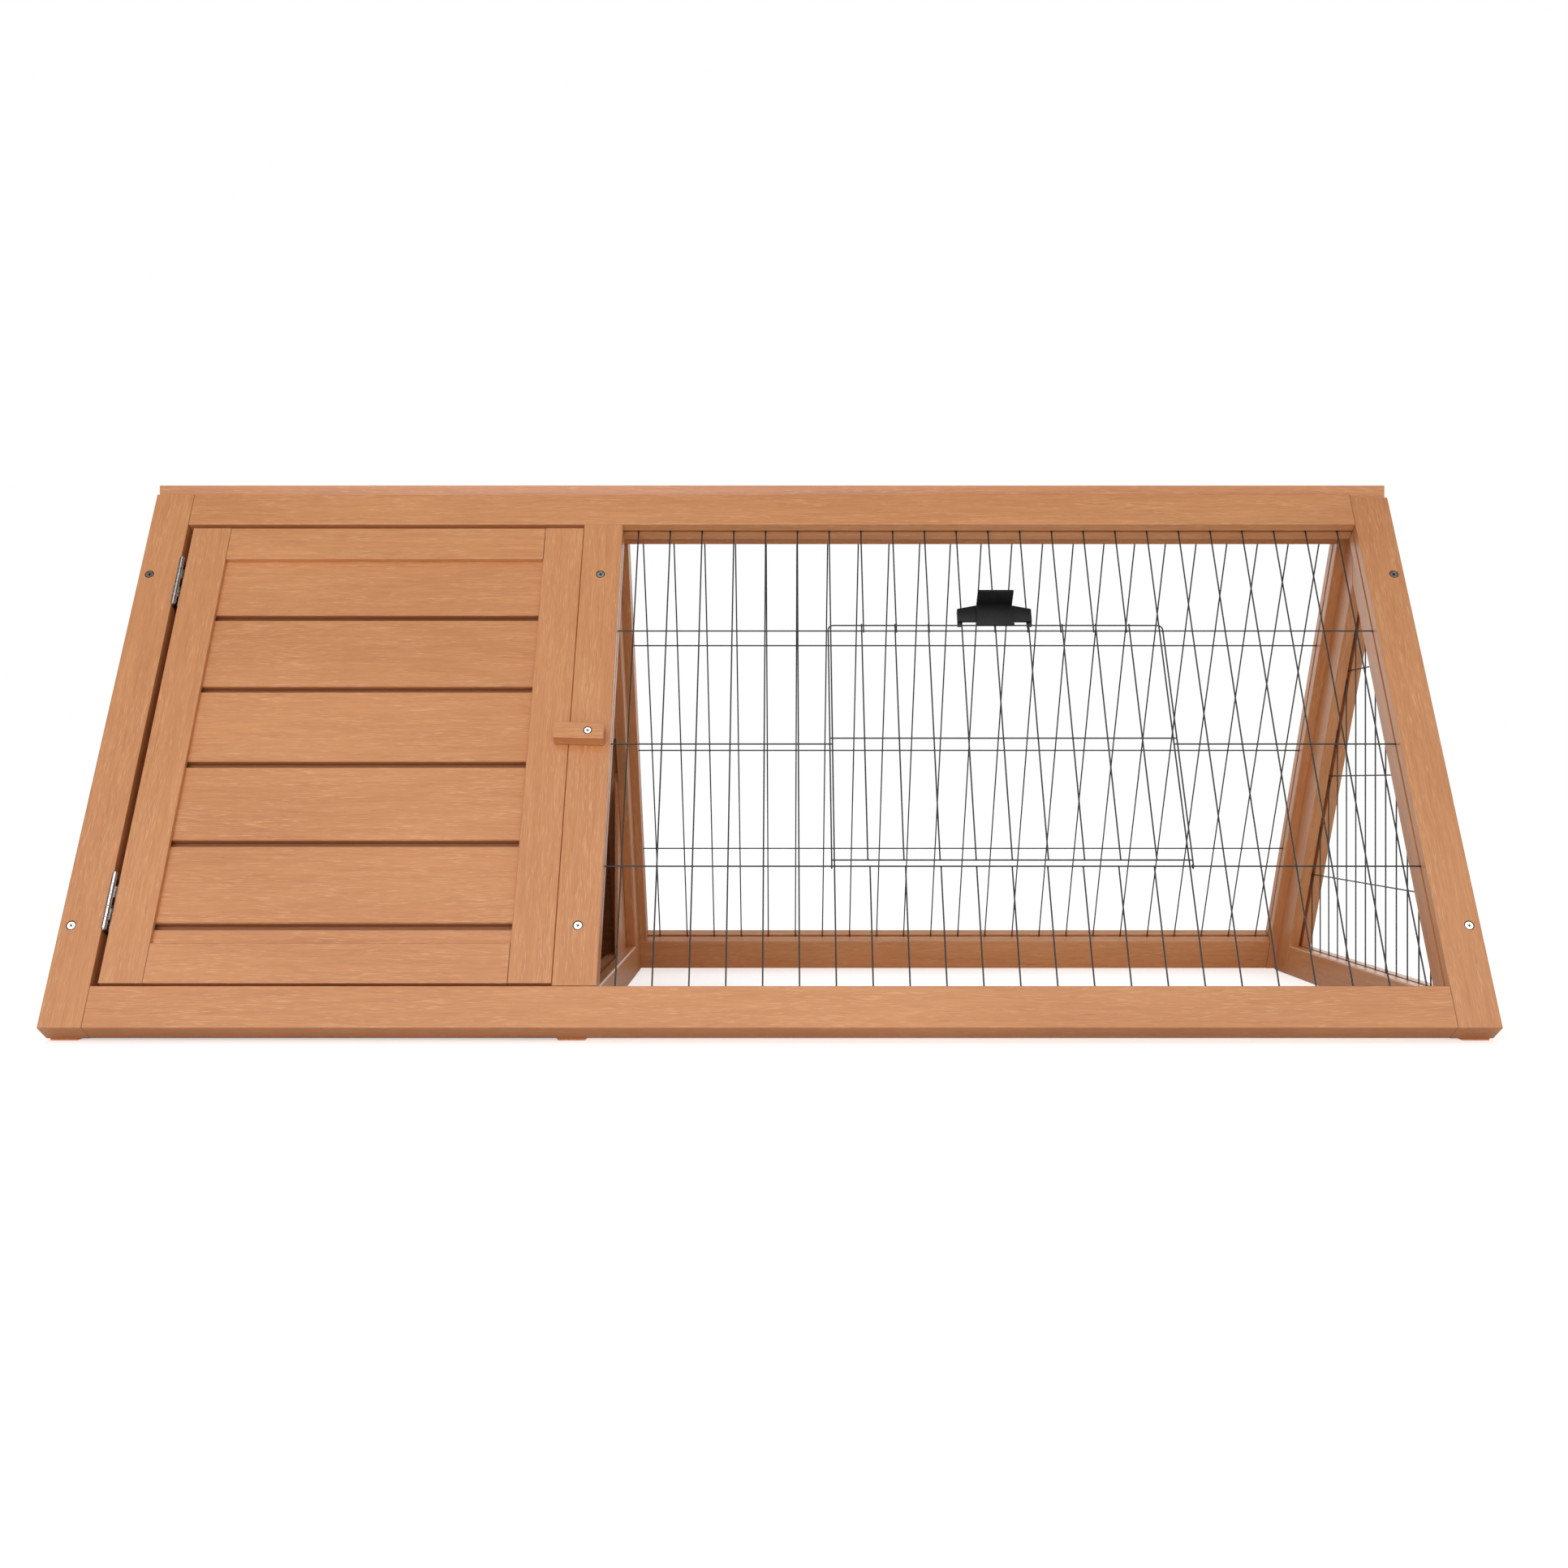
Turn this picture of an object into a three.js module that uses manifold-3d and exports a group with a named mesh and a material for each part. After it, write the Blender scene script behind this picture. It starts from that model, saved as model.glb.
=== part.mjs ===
import * as THREE from "three";
import { mergeVertices } from "three/addons/utils/BufferGeometryUtils.js";
import Module from "manifold-3d";

// Outdoor rabbit run with a boarded shelter at its left end, in millimetres.
// The ridge runs along X, the front faces -Y, Z is up, and the ground is Z = 0.
// Two framed sides lean together at the ridge on three triangular frames.
//
// A side is drawn lying flat, in side coordinates: x along the ridge, v up the slope from the
// lower edge, and w out of the slope, from the inner face (0) to the outer face (sideThickness).

// ---- Driving dimensions ----

// the two sides
const runLength = 1180; // overall, along the ridge
const slope = 60; // degrees from the ground
const sideHeight = 547; // up the slope
const sideThickness = 23;
const sideLift = 1.5; // lower inner corner above the ground
const stileWidth = 35.75; // left and right
const midStileWidth = 36.5;
const sideRailWidth = 36.5; // bottom
const topRailWidth = 36;
const shelterOpening = 376.25; // between the left and middle stiles
const rightStileShort = 3.5; // the right stiles end this much below the others
const edgeRound = 0.7;
const jointGap = 0.3; // between pieces that meet face to face

// how the shapes are drawn
const cornerSegments = 1; // pairs of flats round a bar's edge
const circleSegments = 6; // pairs of flats round a hole or a knuckle
const latheSegments = 12;
const wireSides = 6;
const toolReach = 1; // a cutting tool goes this far past what it cuts

// wire grids
const wireRadius = 0.7;
const weldSink = 0.35; // how far crossing wires are pressed into each other
const gridPitch = 30.33;
const gridRowPitch = 121.9; // between the cross wires, up the slope; the middle one is half way
const gridStart = 14.1; // first upright wire, from the middle stile
const meshGroove = 3.8;
const meshGrooveDepth = 8;
const meshGrooveSetback = 9.4; // front face of a side to its mesh groove
const meshInGroove = 5.5; // how far wires reach into their groove
const doorwayFirst = 6; // upright wires that bound the doorway
const doorwayLast = 16;

// wire door
const wireDoorOverlap = 2.4; // its bent outer wire stands this far beside the doorway's wires
const wireDoorLift = 5; // its cross wires above those of the mesh
const wireDoorCorner = 5; // bend of the outer wire
const hookClearance = 0.35; // between the door's hooks and the wire they turn on
const hookWrap = 250; // degrees of wire round the hinge wire

// slide latch of the wire door
const latchPlate = 2.5;
const latchHeight = 18; // of the plate, up the slope
const latchShoulder = 4; // its ends are lower than its middle
const latchReach = 1; // upright wires from its middle one to those that it grips
const latchMargin = 4; // plate beyond the gripped wires
const latchTabWidth = 33;
const latchTabLength = 18.4;
const latchTabRise = 11; // degrees up from square to the mesh
const latchTabThickness = 2.2;
const latchLipWidth = 35;
const latchLip = 2;
const latchLipDrop = 2.2; // lip below the door's top wire
const latchAboveWire = 4.4; // plate above the door's top wire
const latchClear = 0.3;
const latchGrip = 1.5; // wall of the grips behind the wires
const latchRoot = 0.5; // grips start this deep in the plate
const latchGripDrop = 2.6; // grips below the plate

// boards
const boardThickness = 10.5;
const boardRecess = 4.8; // behind the frame's outer face
const boardEndGap = 0.5; // at the bottom of the grooves
const boardGap = 6; // open joint on the outer face
const boardTongue = 3.7;
const boardLap = 7; // tongue beyond the middle of the joint
const boardClearance = 0.3;
const boardGrooveDepth = 6;
const boardChamfer = 0.8;

// wood door
const hingeGap = 6;
const latchGap = 0.3; // latch stile to middle stile, on the outer face
const latchBevel = 0.9; // the latch stile narrows towards its inner face, to swing clear
const doorBottomGap = 2.4;
const doorTopGap = 4.7;
const doorStileWidth = 36;
const doorBottomRailWidth = 35.9;
const doorTopRailWidth = 36;
const doorBoards = 6;
const doorLowestBoard = 0.2218; // heights of the lowest and highest boards, as shares of the others'
const doorHighestBoard = 0.8196;

// hinges of the wood door
const hingeLength = 52;
const hingeFromBottom = 112.5; // its middle, up the slope
const hingeFromTop = 103.5;
const hingeNames = ["lower", "upper"];
const knuckles = 5;
const knuckleGap = 0.3;
const barrelRadius = 2.3;
const barrelProud = 1.9; // pin axis above the outer face
const barrelSetback = 2.25; // pin axis from the left stile
const pinRadius = 1.05;
const pinClearance = 0.1;
const pinHeadRadius = 1.9;
const pinHeadHeight = 1;
const leafThickness = 1.2;
const leafDepth = 18; // into the gap

// turn button
const buttonLength = 43.5;
const buttonWidth = 16.4;
const buttonThickness = 12.5;
const buttonPivotFromEnd = 13.9; // pivot from the button's right end
const buttonPivotOffset = -0.75; // from the middle of the middle stile
const buttonTilt = -1.8; // degrees
const buttonGap = 0.4;

// screws
const frameScrew = { length: 45, shank: 2, head: 3.95, sunk: 0.5, cross: 4.4 };
const buttonScrew = { length: 30, shank: 1.8, head: 3.6, sunk: 0.3, cross: 4 };
const screwHeadRim = 0.6; // straight edge of the head above its cone
const screwPoint = 1.5; // length of the point, in shank radii
const screwHoleClearance = 0.15;
const screwSeatClearance = 0.4;
const crossWidth = 1;
const crossDepth = 1.4;
const endScrewInset = 9.5; // from the ends of the side
const screwFromBottom = 91; // up the slope
const screwFromTop = 94.5;

// triangular frames
const triangleThickness = 24;
const legWidth = 36;
const triangleRailHeight = 32;
const triangleChamfer = 1.2;
const triangleGroove = 3.8;
const triangleGrooveDepth = 8;
const endFrameInset = 2.5; // end frames from the ends of the sides
const dividerOffset = -2.1; // from the middle of the middle stile

// right end grid
const endPitch = 28.8; // between its uprights, from one in the middle
const endRowPitch = 104.6; // between its cross wires; the middle one is half way up

// divider panels, and boards of the shelter's left end and rear
const panelThickness = 3.2;
const panelInGroove = 6;
const doorwayHalfWidth = 112;
const doorwayTop = 255;
const endBoardInGroove = 5;
const endBoardCount = 5; // left end
const rearBoardCount = 6; // shelter's rear wall

// ridge batten
const battenWidth = 26;
const battenHeight = 14;

// ---- Places worked out from them ----

const slopeRadians = THREE.MathUtils.degToRad(slope);
const sin = Math.sin(slopeRadians);
const cos = Math.cos(slopeRadians);
const tan = Math.tan(slopeRadians);
const halfLength = runLength / 2;
const footY = sideHeight * cos; // lower inner corner from the ridge plane
const ridgeZ = sideLift + sideHeight * sin; // upper inner corners, where the sides meet

const bottomRailTop = sideRailWidth;
const topRailBottom = sideHeight - topRailWidth;
const leftStile = [-halfLength, -halfLength + stileWidth];
const midStile = [leftStile[1] + shelterOpening, leftStile[1] + shelterOpening + midStileWidth];
const rightStile = [halfLength - stileWidth, halfLength];

const meshGrooveW = sideThickness - meshGrooveSetback - meshGroove;
const weldOffset = 2 * wireRadius - weldSink; // between the planes of crossing wires
const crossWireW = meshGrooveW + meshGroove / 2 + weldOffset / 2;
const uprightX = (k) => midStile[1] + gridStart + gridPitch * k;
const uprightCount = Math.floor((rightStile[0] - uprightX(0)) / gridPitch) + 1;
const rows = [-1, 0, 1].map((i) => sideHeight / 2 + gridRowPitch * i);

const hookRadius = 2 * wireRadius + hookClearance;
const wireDoorW = crossWireW + hookRadius;
const wireDoorX = [uprightX(doorwayFirst) - wireDoorOverlap, uprightX(doorwayLast) + wireDoorOverlap];
const wireDoorRows = rows.map((v) => v + wireDoorLift);

const boardW = [sideThickness - boardRecess - boardThickness, sideThickness - boardRecess];
const boardGrooveW = [boardW[0] - boardClearance, boardW[1] + boardClearance];
const boardInGroove = boardGrooveDepth - boardEndGap;

const doorX = [leftStile[1] + hingeGap, midStile[0] - latchGap];
const doorV = [bottomRailTop + doorBottomGap, topRailBottom - doorTopGap];
const doorInnerX = [doorX[0] + doorStileWidth, doorX[1] - doorStileWidth];
const doorInnerV = [doorV[0] + doorBottomRailWidth, doorV[1] - doorTopRailWidth];

const pinX = leftStile[1] + barrelSetback;
const pinW = sideThickness + barrelProud;

const midStileCentre = (midStile[0] + midStile[1]) / 2;
const hingeCentres = [hingeFromBottom, sideHeight - hingeFromTop];
const buttonPivotX = midStileCentre + buttonPivotOffset;
const buttonHeight = sideHeight / 2;

const screwX = [-halfLength + endScrewInset, midStileCentre, halfLength - endScrewInset];
const screwV = [screwFromBottom, sideHeight - screwFromTop];

const dividerX = midStileCentre + dividerOffset;
const triangleApex = ridgeZ - jointGap / cos;
const triangleHalfBase = triangleApex / tan;
const innerApex = triangleApex - legWidth / cos; // where the legs' inner edges meet
const innerHalfWidth = (z) => (innerApex - z) / tan;
const triangleX = {
  left: -halfLength + endFrameInset + triangleThickness / 2,
  divider: dividerX,
  right: halfLength - endFrameInset - triangleThickness / 2,
};

// ---- Materials ----

function finish(color, roughness, metalness) {
  return new THREE.MeshStandardMaterial({ color, roughness, metalness });
}

const stain = () => finish(0xc88d61, 0.65, 0);
const board = () => finish(0xc98c60, 0.65, 0);
const ply = () => finish(0xb07a52, 0.7, 0);
const wireFinish = () => finish(0x3c3c3c, 0.45, 0.7);
const plastic = () => finish(0x232323, 0.45, 0);
const zinc = () => finish(0xc9c9cb, 0.3, 0.9);

// ---- Solids ----

const wasm = await Module();
wasm.setup();

function toSolid(geometry) {
  const bare = new THREE.BufferGeometry().setAttribute("position", geometry.getAttribute("position"));
  if (geometry.index) bare.setIndex(geometry.index);
  const merged = mergeVertices(bare, 1e-5);
  const corners = merged.index.array;
  const triangles = [];
  for (let i = 0; i < corners.length; i += 3) {
    const [a, b, c] = corners.slice(i, i + 3);
    if (a !== b && b !== c && c !== a) triangles.push(a, b, c);
  }
  return new wasm.Manifold(
    new wasm.Mesh({
      numProp: 3,
      vertProperties: new Float32Array(merged.getAttribute("position").array),
      triVerts: new Uint32Array(triangles),
    }),
  );
}

function toGeometry(solid) {
  const mesh = solid.getMesh();
  const positions = new Float32Array(mesh.numVert * 3);
  for (let i = 0; i < mesh.numVert; i++) {
    positions.set(mesh.vertProperties.subarray(i * mesh.numProp, i * mesh.numProp + 3), i * 3);
  }
  const geometry = new THREE.BufferGeometry();
  geometry.setAttribute("position", new THREE.BufferAttribute(positions, 3));
  geometry.setIndex(new THREE.BufferAttribute(mesh.triVerts, 1));
  geometry.computeVertexNormals();
  return geometry;
}

function joined(geometries) {
  return toGeometry(geometries.map(toSolid).reduce((whole, next) => whole.add(next)));
}

function carved(geometry, tools) {
  return toGeometry(tools.map(toSolid).reduce((whole, tool) => whole.subtract(tool), toSolid(geometry)));
}

// Turns a shape drawn in two side directions, and extruded along the third, into its place.
const alongX = new THREE.Matrix4().makeBasis(
  new THREE.Vector3(0, 1, 0),
  new THREE.Vector3(0, 0, 1),
  new THREE.Vector3(1, 0, 0),
);
const alongV = new THREE.Matrix4().makeBasis(
  new THREE.Vector3(0, 0, 1),
  new THREE.Vector3(1, 0, 0),
  new THREE.Vector3(0, 1, 0),
);

function outline(points) {
  return new THREE.Shape(points.map(([a, b]) => new THREE.Vector2(a, b)));
}

function roundedRectangle([a0, a1], [b0, b1], radius) {
  const shape = new THREE.Shape();
  shape.absarc(a1 - radius, b0 + radius, radius, -Math.PI / 2, 0);
  shape.absarc(a1 - radius, b1 - radius, radius, 0, Math.PI / 2);
  shape.absarc(a0 + radius, b1 - radius, radius, Math.PI / 2, Math.PI);
  shape.absarc(a0 + radius, b0 + radius, radius, Math.PI, 1.5 * Math.PI);
  return shape;
}

function extruded(shape, [from, to], curveSegments = cornerSegments) {
  const geometry = new THREE.ExtrudeGeometry(shape, { depth: to - from, bevelEnabled: false, curveSegments });
  return geometry.translate(0, 0, from);
}

// A wooden bar with its four long edges rounded, lying along x or up the slope.
function railBar(x, v, w = [0, sideThickness]) {
  return extruded(roundedRectangle(v, w, edgeRound), x).applyMatrix4(alongX);
}

function stileBar(x, v, w = [0, sideThickness]) {
  return extruded(roundedRectangle(w, x, edgeRound), v).applyMatrix4(alongV);
}

function lathe(profile) {
  return new THREE.LatheGeometry(
    profile.map(([r, h]) => new THREE.Vector2(r, h)),
    latheSegments,
  );
}

function block([x0, x1], [v0, v1], [w0, w1]) {
  const box = new THREE.BoxGeometry(x1 - x0, v1 - v0, w1 - w0);
  return box.translate((x0 + x1) / 2, (v0 + v1) / 2, (w0 + w1) / 2);
}

// ---- Placing ----

const model = new THREE.Group();

// The front side's inner lower corner is at -footY; the rear side is the front one turned
// half round the vertical, so its x runs the other way.
function sideGroup(turn) {
  const side = new THREE.Group();
  side.rotation.x = slopeRadians;
  side.position.set(0, -footY, sideLift);
  const turned = new THREE.Group();
  turned.rotation.z = turn;
  turned.add(side);
  model.add(turned);
  turned.updateMatrixWorld(true);
  return side;
}

const sides = {
  front: { group: sideGroup(0), span: (x0, x1) => [x0, x1] },
  rear: { group: sideGroup(Math.PI), span: (x0, x1) => [-x1, -x0] },
};

function add(name, geometry, material, parent = model) {
  const mesh = new THREE.Mesh(geometry, material);
  mesh.name = name;
  parent.add(mesh);
  return mesh;
}

// ---- Screws ----

// A countersunk screw drawn upright, its head's flat top at 0 and its point below.
function screwShape({ length: long, shank, head }) {
  return lathe([
    [0, -long],
    [shank, -long + screwPoint * shank],
    [shank, -screwHeadRim - head + shank],
    [head, -screwHeadRim],
    [head, 0],
    [0, 0],
  ]);
}

// The countersink that its head lies in, open above.
function screwSeat({ shank, head }) {
  return lathe([
    [0, -screwHeadRim - head + shank],
    [shank + screwHoleClearance, -screwHeadRim - head + shank],
    [head + screwSeatClearance, -screwHeadRim],
    [head + screwSeatClearance, toolReach],
    [0, toolReach],
  ]);
}

function crossTools({ cross }) {
  return [
    new THREE.BoxGeometry(cross, 2 * crossDepth, crossWidth),
    new THREE.BoxGeometry(crossWidth, 2 * crossDepth, cross),
  ];
}

function screwGeometry(screw) {
  return carved(screwShape(screw), crossTools(screw));
}

// Stands a screw or its hole in a side, square to the outer face, its head's top at height w.
function standing(geometry, x, v, w) {
  return geometry.rotateX(Math.PI / 2).translate(x, v, w);
}

function screwHole(screw, x, v, w) {
  const bore = new THREE.Shape().absarc(0, 0, screw.shank + screwHoleClearance, 0, 2 * Math.PI);
  const shaft = extruded(bore, [w - screw.length - toolReach, w], circleSegments).translate(x, v, 0);
  return [shaft, standing(screwSeat(screw), x, v, w)];
}

const frameScrewW = sideThickness - frameScrew.sunk;
const frameScrewHoles = (x) => screwV.flatMap((v) => screwHole(frameScrew, x, v, frameScrewW));

// ---- Side frames ----

function meshGrooveTool(span) {
  return block(
    span(midStile[1] - meshGrooveDepth, rightStile[0] + meshGrooveDepth),
    [bottomRailTop - meshGrooveDepth, topRailBottom + meshGrooveDepth],
    [meshGrooveW, meshGrooveW + meshGroove],
  );
}

function boardGrooveTool(span) {
  return block(
    span(leftStile[1] - boardGrooveDepth, midStile[0] + boardGrooveDepth),
    [bottomRailTop - boardGrooveDepth, topRailBottom + boardGrooveDepth],
    boardGrooveW,
  );
}

function sideFrame(name) {
  const { group, span } = sides[name];
  const grooves = [meshGrooveTool(span)];
  if (name === "rear") grooves.push(boardGrooveTool(span));
  const full = [0, sideHeight];
  const holes = (i) => frameScrewHoles(span(screwX[i], screwX[i])[0]);
  const buttonHole =
    name === "front" ? screwHole(buttonScrew, buttonPivotX, buttonHeight, buttonScrewW).slice(0, 1) : [];
  const railSpan = span(leftStile[1], rightStile[0]);
  const pieces = {
    left_stile: carved(stileBar(span(...leftStile), full), [...holes(0), ...grooves]),
    mid_stile: carved(stileBar(span(...midStile), [bottomRailTop + jointGap, topRailBottom - jointGap]), [
      ...holes(1),
      ...grooves,
      ...buttonHole,
    ]),
    right_stile: carved(stileBar(span(...rightStile), [0, sideHeight - rightStileShort]), [
      ...holes(2),
      ...grooves,
    ]),
    top_rail: carved(railBar(railSpan, [topRailBottom, sideHeight]), grooves),
    bottom_rail: carved(railBar(railSpan, [0, bottomRailTop]), grooves),
  };
  for (const [piece, geometry] of Object.entries(pieces)) add(`${name}_${piece}`, geometry, stain(), group);
  const places = ["left", "mid", "right"];
  places.forEach((place, i) => {
    ["lower", "upper"].forEach((level, j) => {
      const [x] = span(screwX[i], screwX[i]);
      const screw = standing(screwGeometry(frameScrew), x, screwV[j], frameScrewW);
      add(`${name}_${place}_${level}_screw`, screw, zinc(), group);
    });
  });
}

// ---- Wire grids ----

const hexagon = new THREE.Shape(
  Array.from({ length: wireSides }, (_, i) => {
    const angle = (2 * Math.PI * i) / wireSides;
    return new THREE.Vector2(wireRadius * Math.cos(angle), wireRadius * Math.sin(angle));
  }),
);

// Straight wires of a grid drawn in x and v, with a corner of their section towards w.
function crossWire(v, x, w) {
  return extruded(hexagon, x).rotateZ(Math.PI / 2).applyMatrix4(alongX).translate(0, v, w);
}

function uprightWire(x, v, w) {
  return extruded(hexagon, v).applyMatrix4(alongV).translate(x, 0, w);
}

function sideGrid(span, doorway) {
  const behind = crossWireW - weldOffset;
  const v = [bottomRailTop - meshInGroove, topRailBottom + meshInGroove];
  const x = [midStile[1] - meshInGroove, rightStile[0] + meshInGroove];
  const wires = [];
  for (let k = 0; k < uprightCount; k++) {
    const [at] = span(uprightX(k), uprightX(k));
    const cut = doorway && k > doorwayFirst && k < doorwayLast;
    if (cut) {
      wires.push(uprightWire(at, [v[0], rows[0] + wireRadius], behind));
      wires.push(uprightWire(at, [rows[2] - wireRadius, v[1]], behind));
    } else {
      wires.push(uprightWire(at, v, behind));
    }
  }
  rows.forEach((row, i) => {
    if (doorway && i === 1) {
      wires.push(crossWire(row, [x[0], uprightX(doorwayFirst) + wireRadius], crossWireW));
      wires.push(crossWire(row, [uprightX(doorwayLast) - wireRadius, x[1]], crossWireW));
    } else {
      wires.push(crossWire(row, span(...x), crossWireW));
    }
  });
  return joined(wires);
}

function endGrid() {
  const reach = meshInGroove / sin;
  const middle = (innerApex + triangleRailHeight) / 2;
  const heights = [-1, 0, 1].map((i) => middle + endRowPitch * i);
  // the outermost uprights still reach the lowest cross wire, inside the groove
  const outermost = innerHalfWidth(heights[0]) + (meshInGroove / cos - wireRadius) / tan;
  const endUprights = Math.floor(outermost / endPitch); // on each side of the middle one
  const wires = heights.map((z) => {
    const half = innerHalfWidth(z) + reach;
    return crossWire(z, [-half, half], -weldOffset / 2);
  });
  for (let k = -endUprights; k <= endUprights; k++) {
    const y = endPitch * k;
    const top = innerApex - Math.abs(y) * tan + meshInGroove / cos;
    wires.push(uprightWire(y, [triangleRailHeight - meshInGroove, top], weldOffset / 2));
  }
  // drawn in Y and Z, and stood in the middle of the right frame's thickness
  return joined(wires).applyMatrix4(alongX).translate(triangleX.right, 0, 0);
}

// ---- Wire door and latch ----

// A bent wire through listed points, with its section square to the mean direction at each.
class BentWire extends THREE.Curve {
  constructor(points) {
    super();
    this.points = points;
  }
  getPointAt(u) {
    return this.points[Math.round(u * (this.points.length - 1))].clone();
  }
  getPoint(u) {
    return this.getPointAt(u);
  }
  getTangentAt(u) {
    const last = this.points.length - 1;
    const i = Math.round(u * last);
    const before = this.points[Math.max(i - 1, 0)];
    const here = this.points[i];
    const after = this.points[Math.min(i + 1, last)];
    const into = here.clone().sub(before).normalize();
    const out = after.clone().sub(here).normalize();
    return into.add(out).normalize();
  }
}

function bend(centre, radius, fromDegrees, toDegrees, steps, point) {
  return Array.from({ length: steps + 1 }, (_, i) => {
    const angle = THREE.MathUtils.degToRad(fromDegrees + ((toDegrees - fromDegrees) * i) / steps);
    return point(centre[0] + radius * Math.cos(angle), centre[1] + radius * Math.sin(angle));
  });
}

function wireDoorGeometry() {
  const [left, right] = wireDoorX;
  const top = wireDoorRows[2];
  const corner = wireDoorCorner;
  const turnSteps = 4;
  const hookSteps = 7;
  const hook = (x) => bend([rows[0], crossWireW], hookRadius, 90, 90 + hookWrap, hookSteps, (v, w) => {
    return new THREE.Vector3(x, v, w);
  });
  const flat = (x, v) => new THREE.Vector3(x, v, wireDoorW);
  const path = [
    ...hook(left).reverse(),
    ...bend([left + corner, top - corner], corner, 180, 90, turnSteps, flat),
    ...bend([right - corner, top - corner], corner, 90, 0, turnSteps, flat),
    ...hook(right),
  ];
  const outer = new THREE.ExtrudeGeometry(hexagon, {
    steps: path.length - 1,
    extrudePath: new BentWire(path),
    bevelEnabled: false,
  });
  const wires = [outer];
  for (const row of wireDoorRows.slice(0, 2)) wires.push(crossWire(row, [left, right], wireDoorW));
  const spaces = doorwayLast - doorwayFirst;
  for (let k = 1; k < spaces; k++) {
    const x = left + ((right - left) * k) / spaces;
    wires.push(uprightWire(x, [wireDoorRows[0] - wireRadius, top + wireRadius], wireDoorW + weldOffset));
  }
  return joined(wires);
}

// The latch straddles three upright wires above the doorway and grips the outer two. Its lip
// comes down in front of the wire door's top wire.
function latchGeometry() {
  const middle = (doorwayFirst + doorwayLast) / 2;
  const gripped = [middle - latchReach, middle + latchReach].map(uprightX);
  const centre = (gripped[0] + gripped[1]) / 2;
  const halfSpan = (gripped[1] - gripped[0]) / 2 + latchMargin;
  const uprightW = crossWireW - weldOffset;
  const back = uprightW + wireRadius + latchClear;
  const front = back + latchPlate;
  const doorTop = wireDoorRows[2];
  const bottom = doorTop + latchAboveWire;
  const top = bottom + latchHeight;
  const plate = extruded(
    outline([
      [-halfSpan, bottom],
      [halfSpan, bottom],
      [halfSpan, top - latchShoulder],
      [latchTabWidth / 2, top],
      [-latchTabWidth / 2, top],
      [-halfSpan, top - latchShoulder],
    ]),
    [back, front],
  ).translate(centre, 0, 0);

  // body and lip, in v and w: it sits on the top wire and reaches down in front of it
  const lipBack = wireDoorW + weldOffset + wireRadius + latchClear;
  const seat = doorTop + wireRadius + latchClear;
  const body = extruded(
    outline([
      [seat, back],
      [top, back],
      [top, lipBack + latchLip],
      [doorTop - latchLipDrop, lipBack + latchLip],
      [doorTop - latchLipDrop, lipBack],
      [seat, lipBack],
    ]),
    [-latchLipWidth / 2, latchLipWidth / 2],
  )
    .applyMatrix4(alongX)
    .translate(centre, 0, 0);

  const rise = THREE.MathUtils.degToRad(latchTabRise);
  const tab = new THREE.BoxGeometry(latchTabWidth, latchTabThickness, latchTabLength)
    .translate(0, -latchTabThickness / 2, latchTabLength / 2)
    .rotateX(-rise)
    .translate(centre, top, lipBack);

  const grips = gripped.map((x, i) => {
    const out = i === 0 ? -1 : 1;
    const end = centre + out * halfSpan;
    const wall = x + out * (wireRadius + latchClear);
    const lip = x - out * wireRadius;
    const behind = uprightW - wireRadius - latchClear;
    const section = outline(
      [
        [end, back + latchRoot],
        [wall, back + latchRoot],
        [wall, behind],
        [lip, behind],
        [lip, behind - latchGrip],
        [end, behind - latchGrip],
      ].map(([a, w]) => [w, a]),
    );
    return extruded(section, [bottom - latchGripDrop, top - latchShoulder]).applyMatrix4(alongV);
  });
  return joined([plate, body, tab, ...grips]);
}

// ---- Boards ----

// The section of one lapped board between two joints, in v and w. Its tongue stands behind the
// next board; a board at the end of the wall is cut straight.
function boardSection(lower, upper) {
  const [back, face] = boardW;
  const half = boardGap / 2;
  const points = [];
  if (lower.joint) {
    points.push([lower.v + boardLap + boardClearance, back]);
    points.push([lower.v + boardLap + boardClearance, back + boardTongue + boardClearance]);
    points.push([lower.v + half, back + boardTongue + boardClearance]);
    points.push([lower.v + half, face - boardChamfer]);
    points.push([lower.v + half + boardChamfer, face]);
  } else {
    points.push([lower.v, back], [lower.v, face]);
  }
  if (upper.joint) {
    points.push([upper.v - half - boardChamfer, face]);
    points.push([upper.v - half, face - boardChamfer]);
    points.push([upper.v - half, back + boardTongue]);
    points.push([upper.v + boardLap, back + boardTongue]);
    points.push([upper.v + boardLap, back]);
  } else {
    points.push([upper.v, face], [upper.v, back]);
  }
  return outline(points.reverse());
}

// Middles of the open joints that divide an opening into boards.
function boardJoints([from, to], boards, lowest = 1, highest = 1) {
  const pitch = (to - from) / (boards - 2 + lowest + highest);
  return Array.from({ length: boards - 1 }, (_, i) => from + pitch * (i + lowest));
}

// ---- Wood door ----

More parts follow.
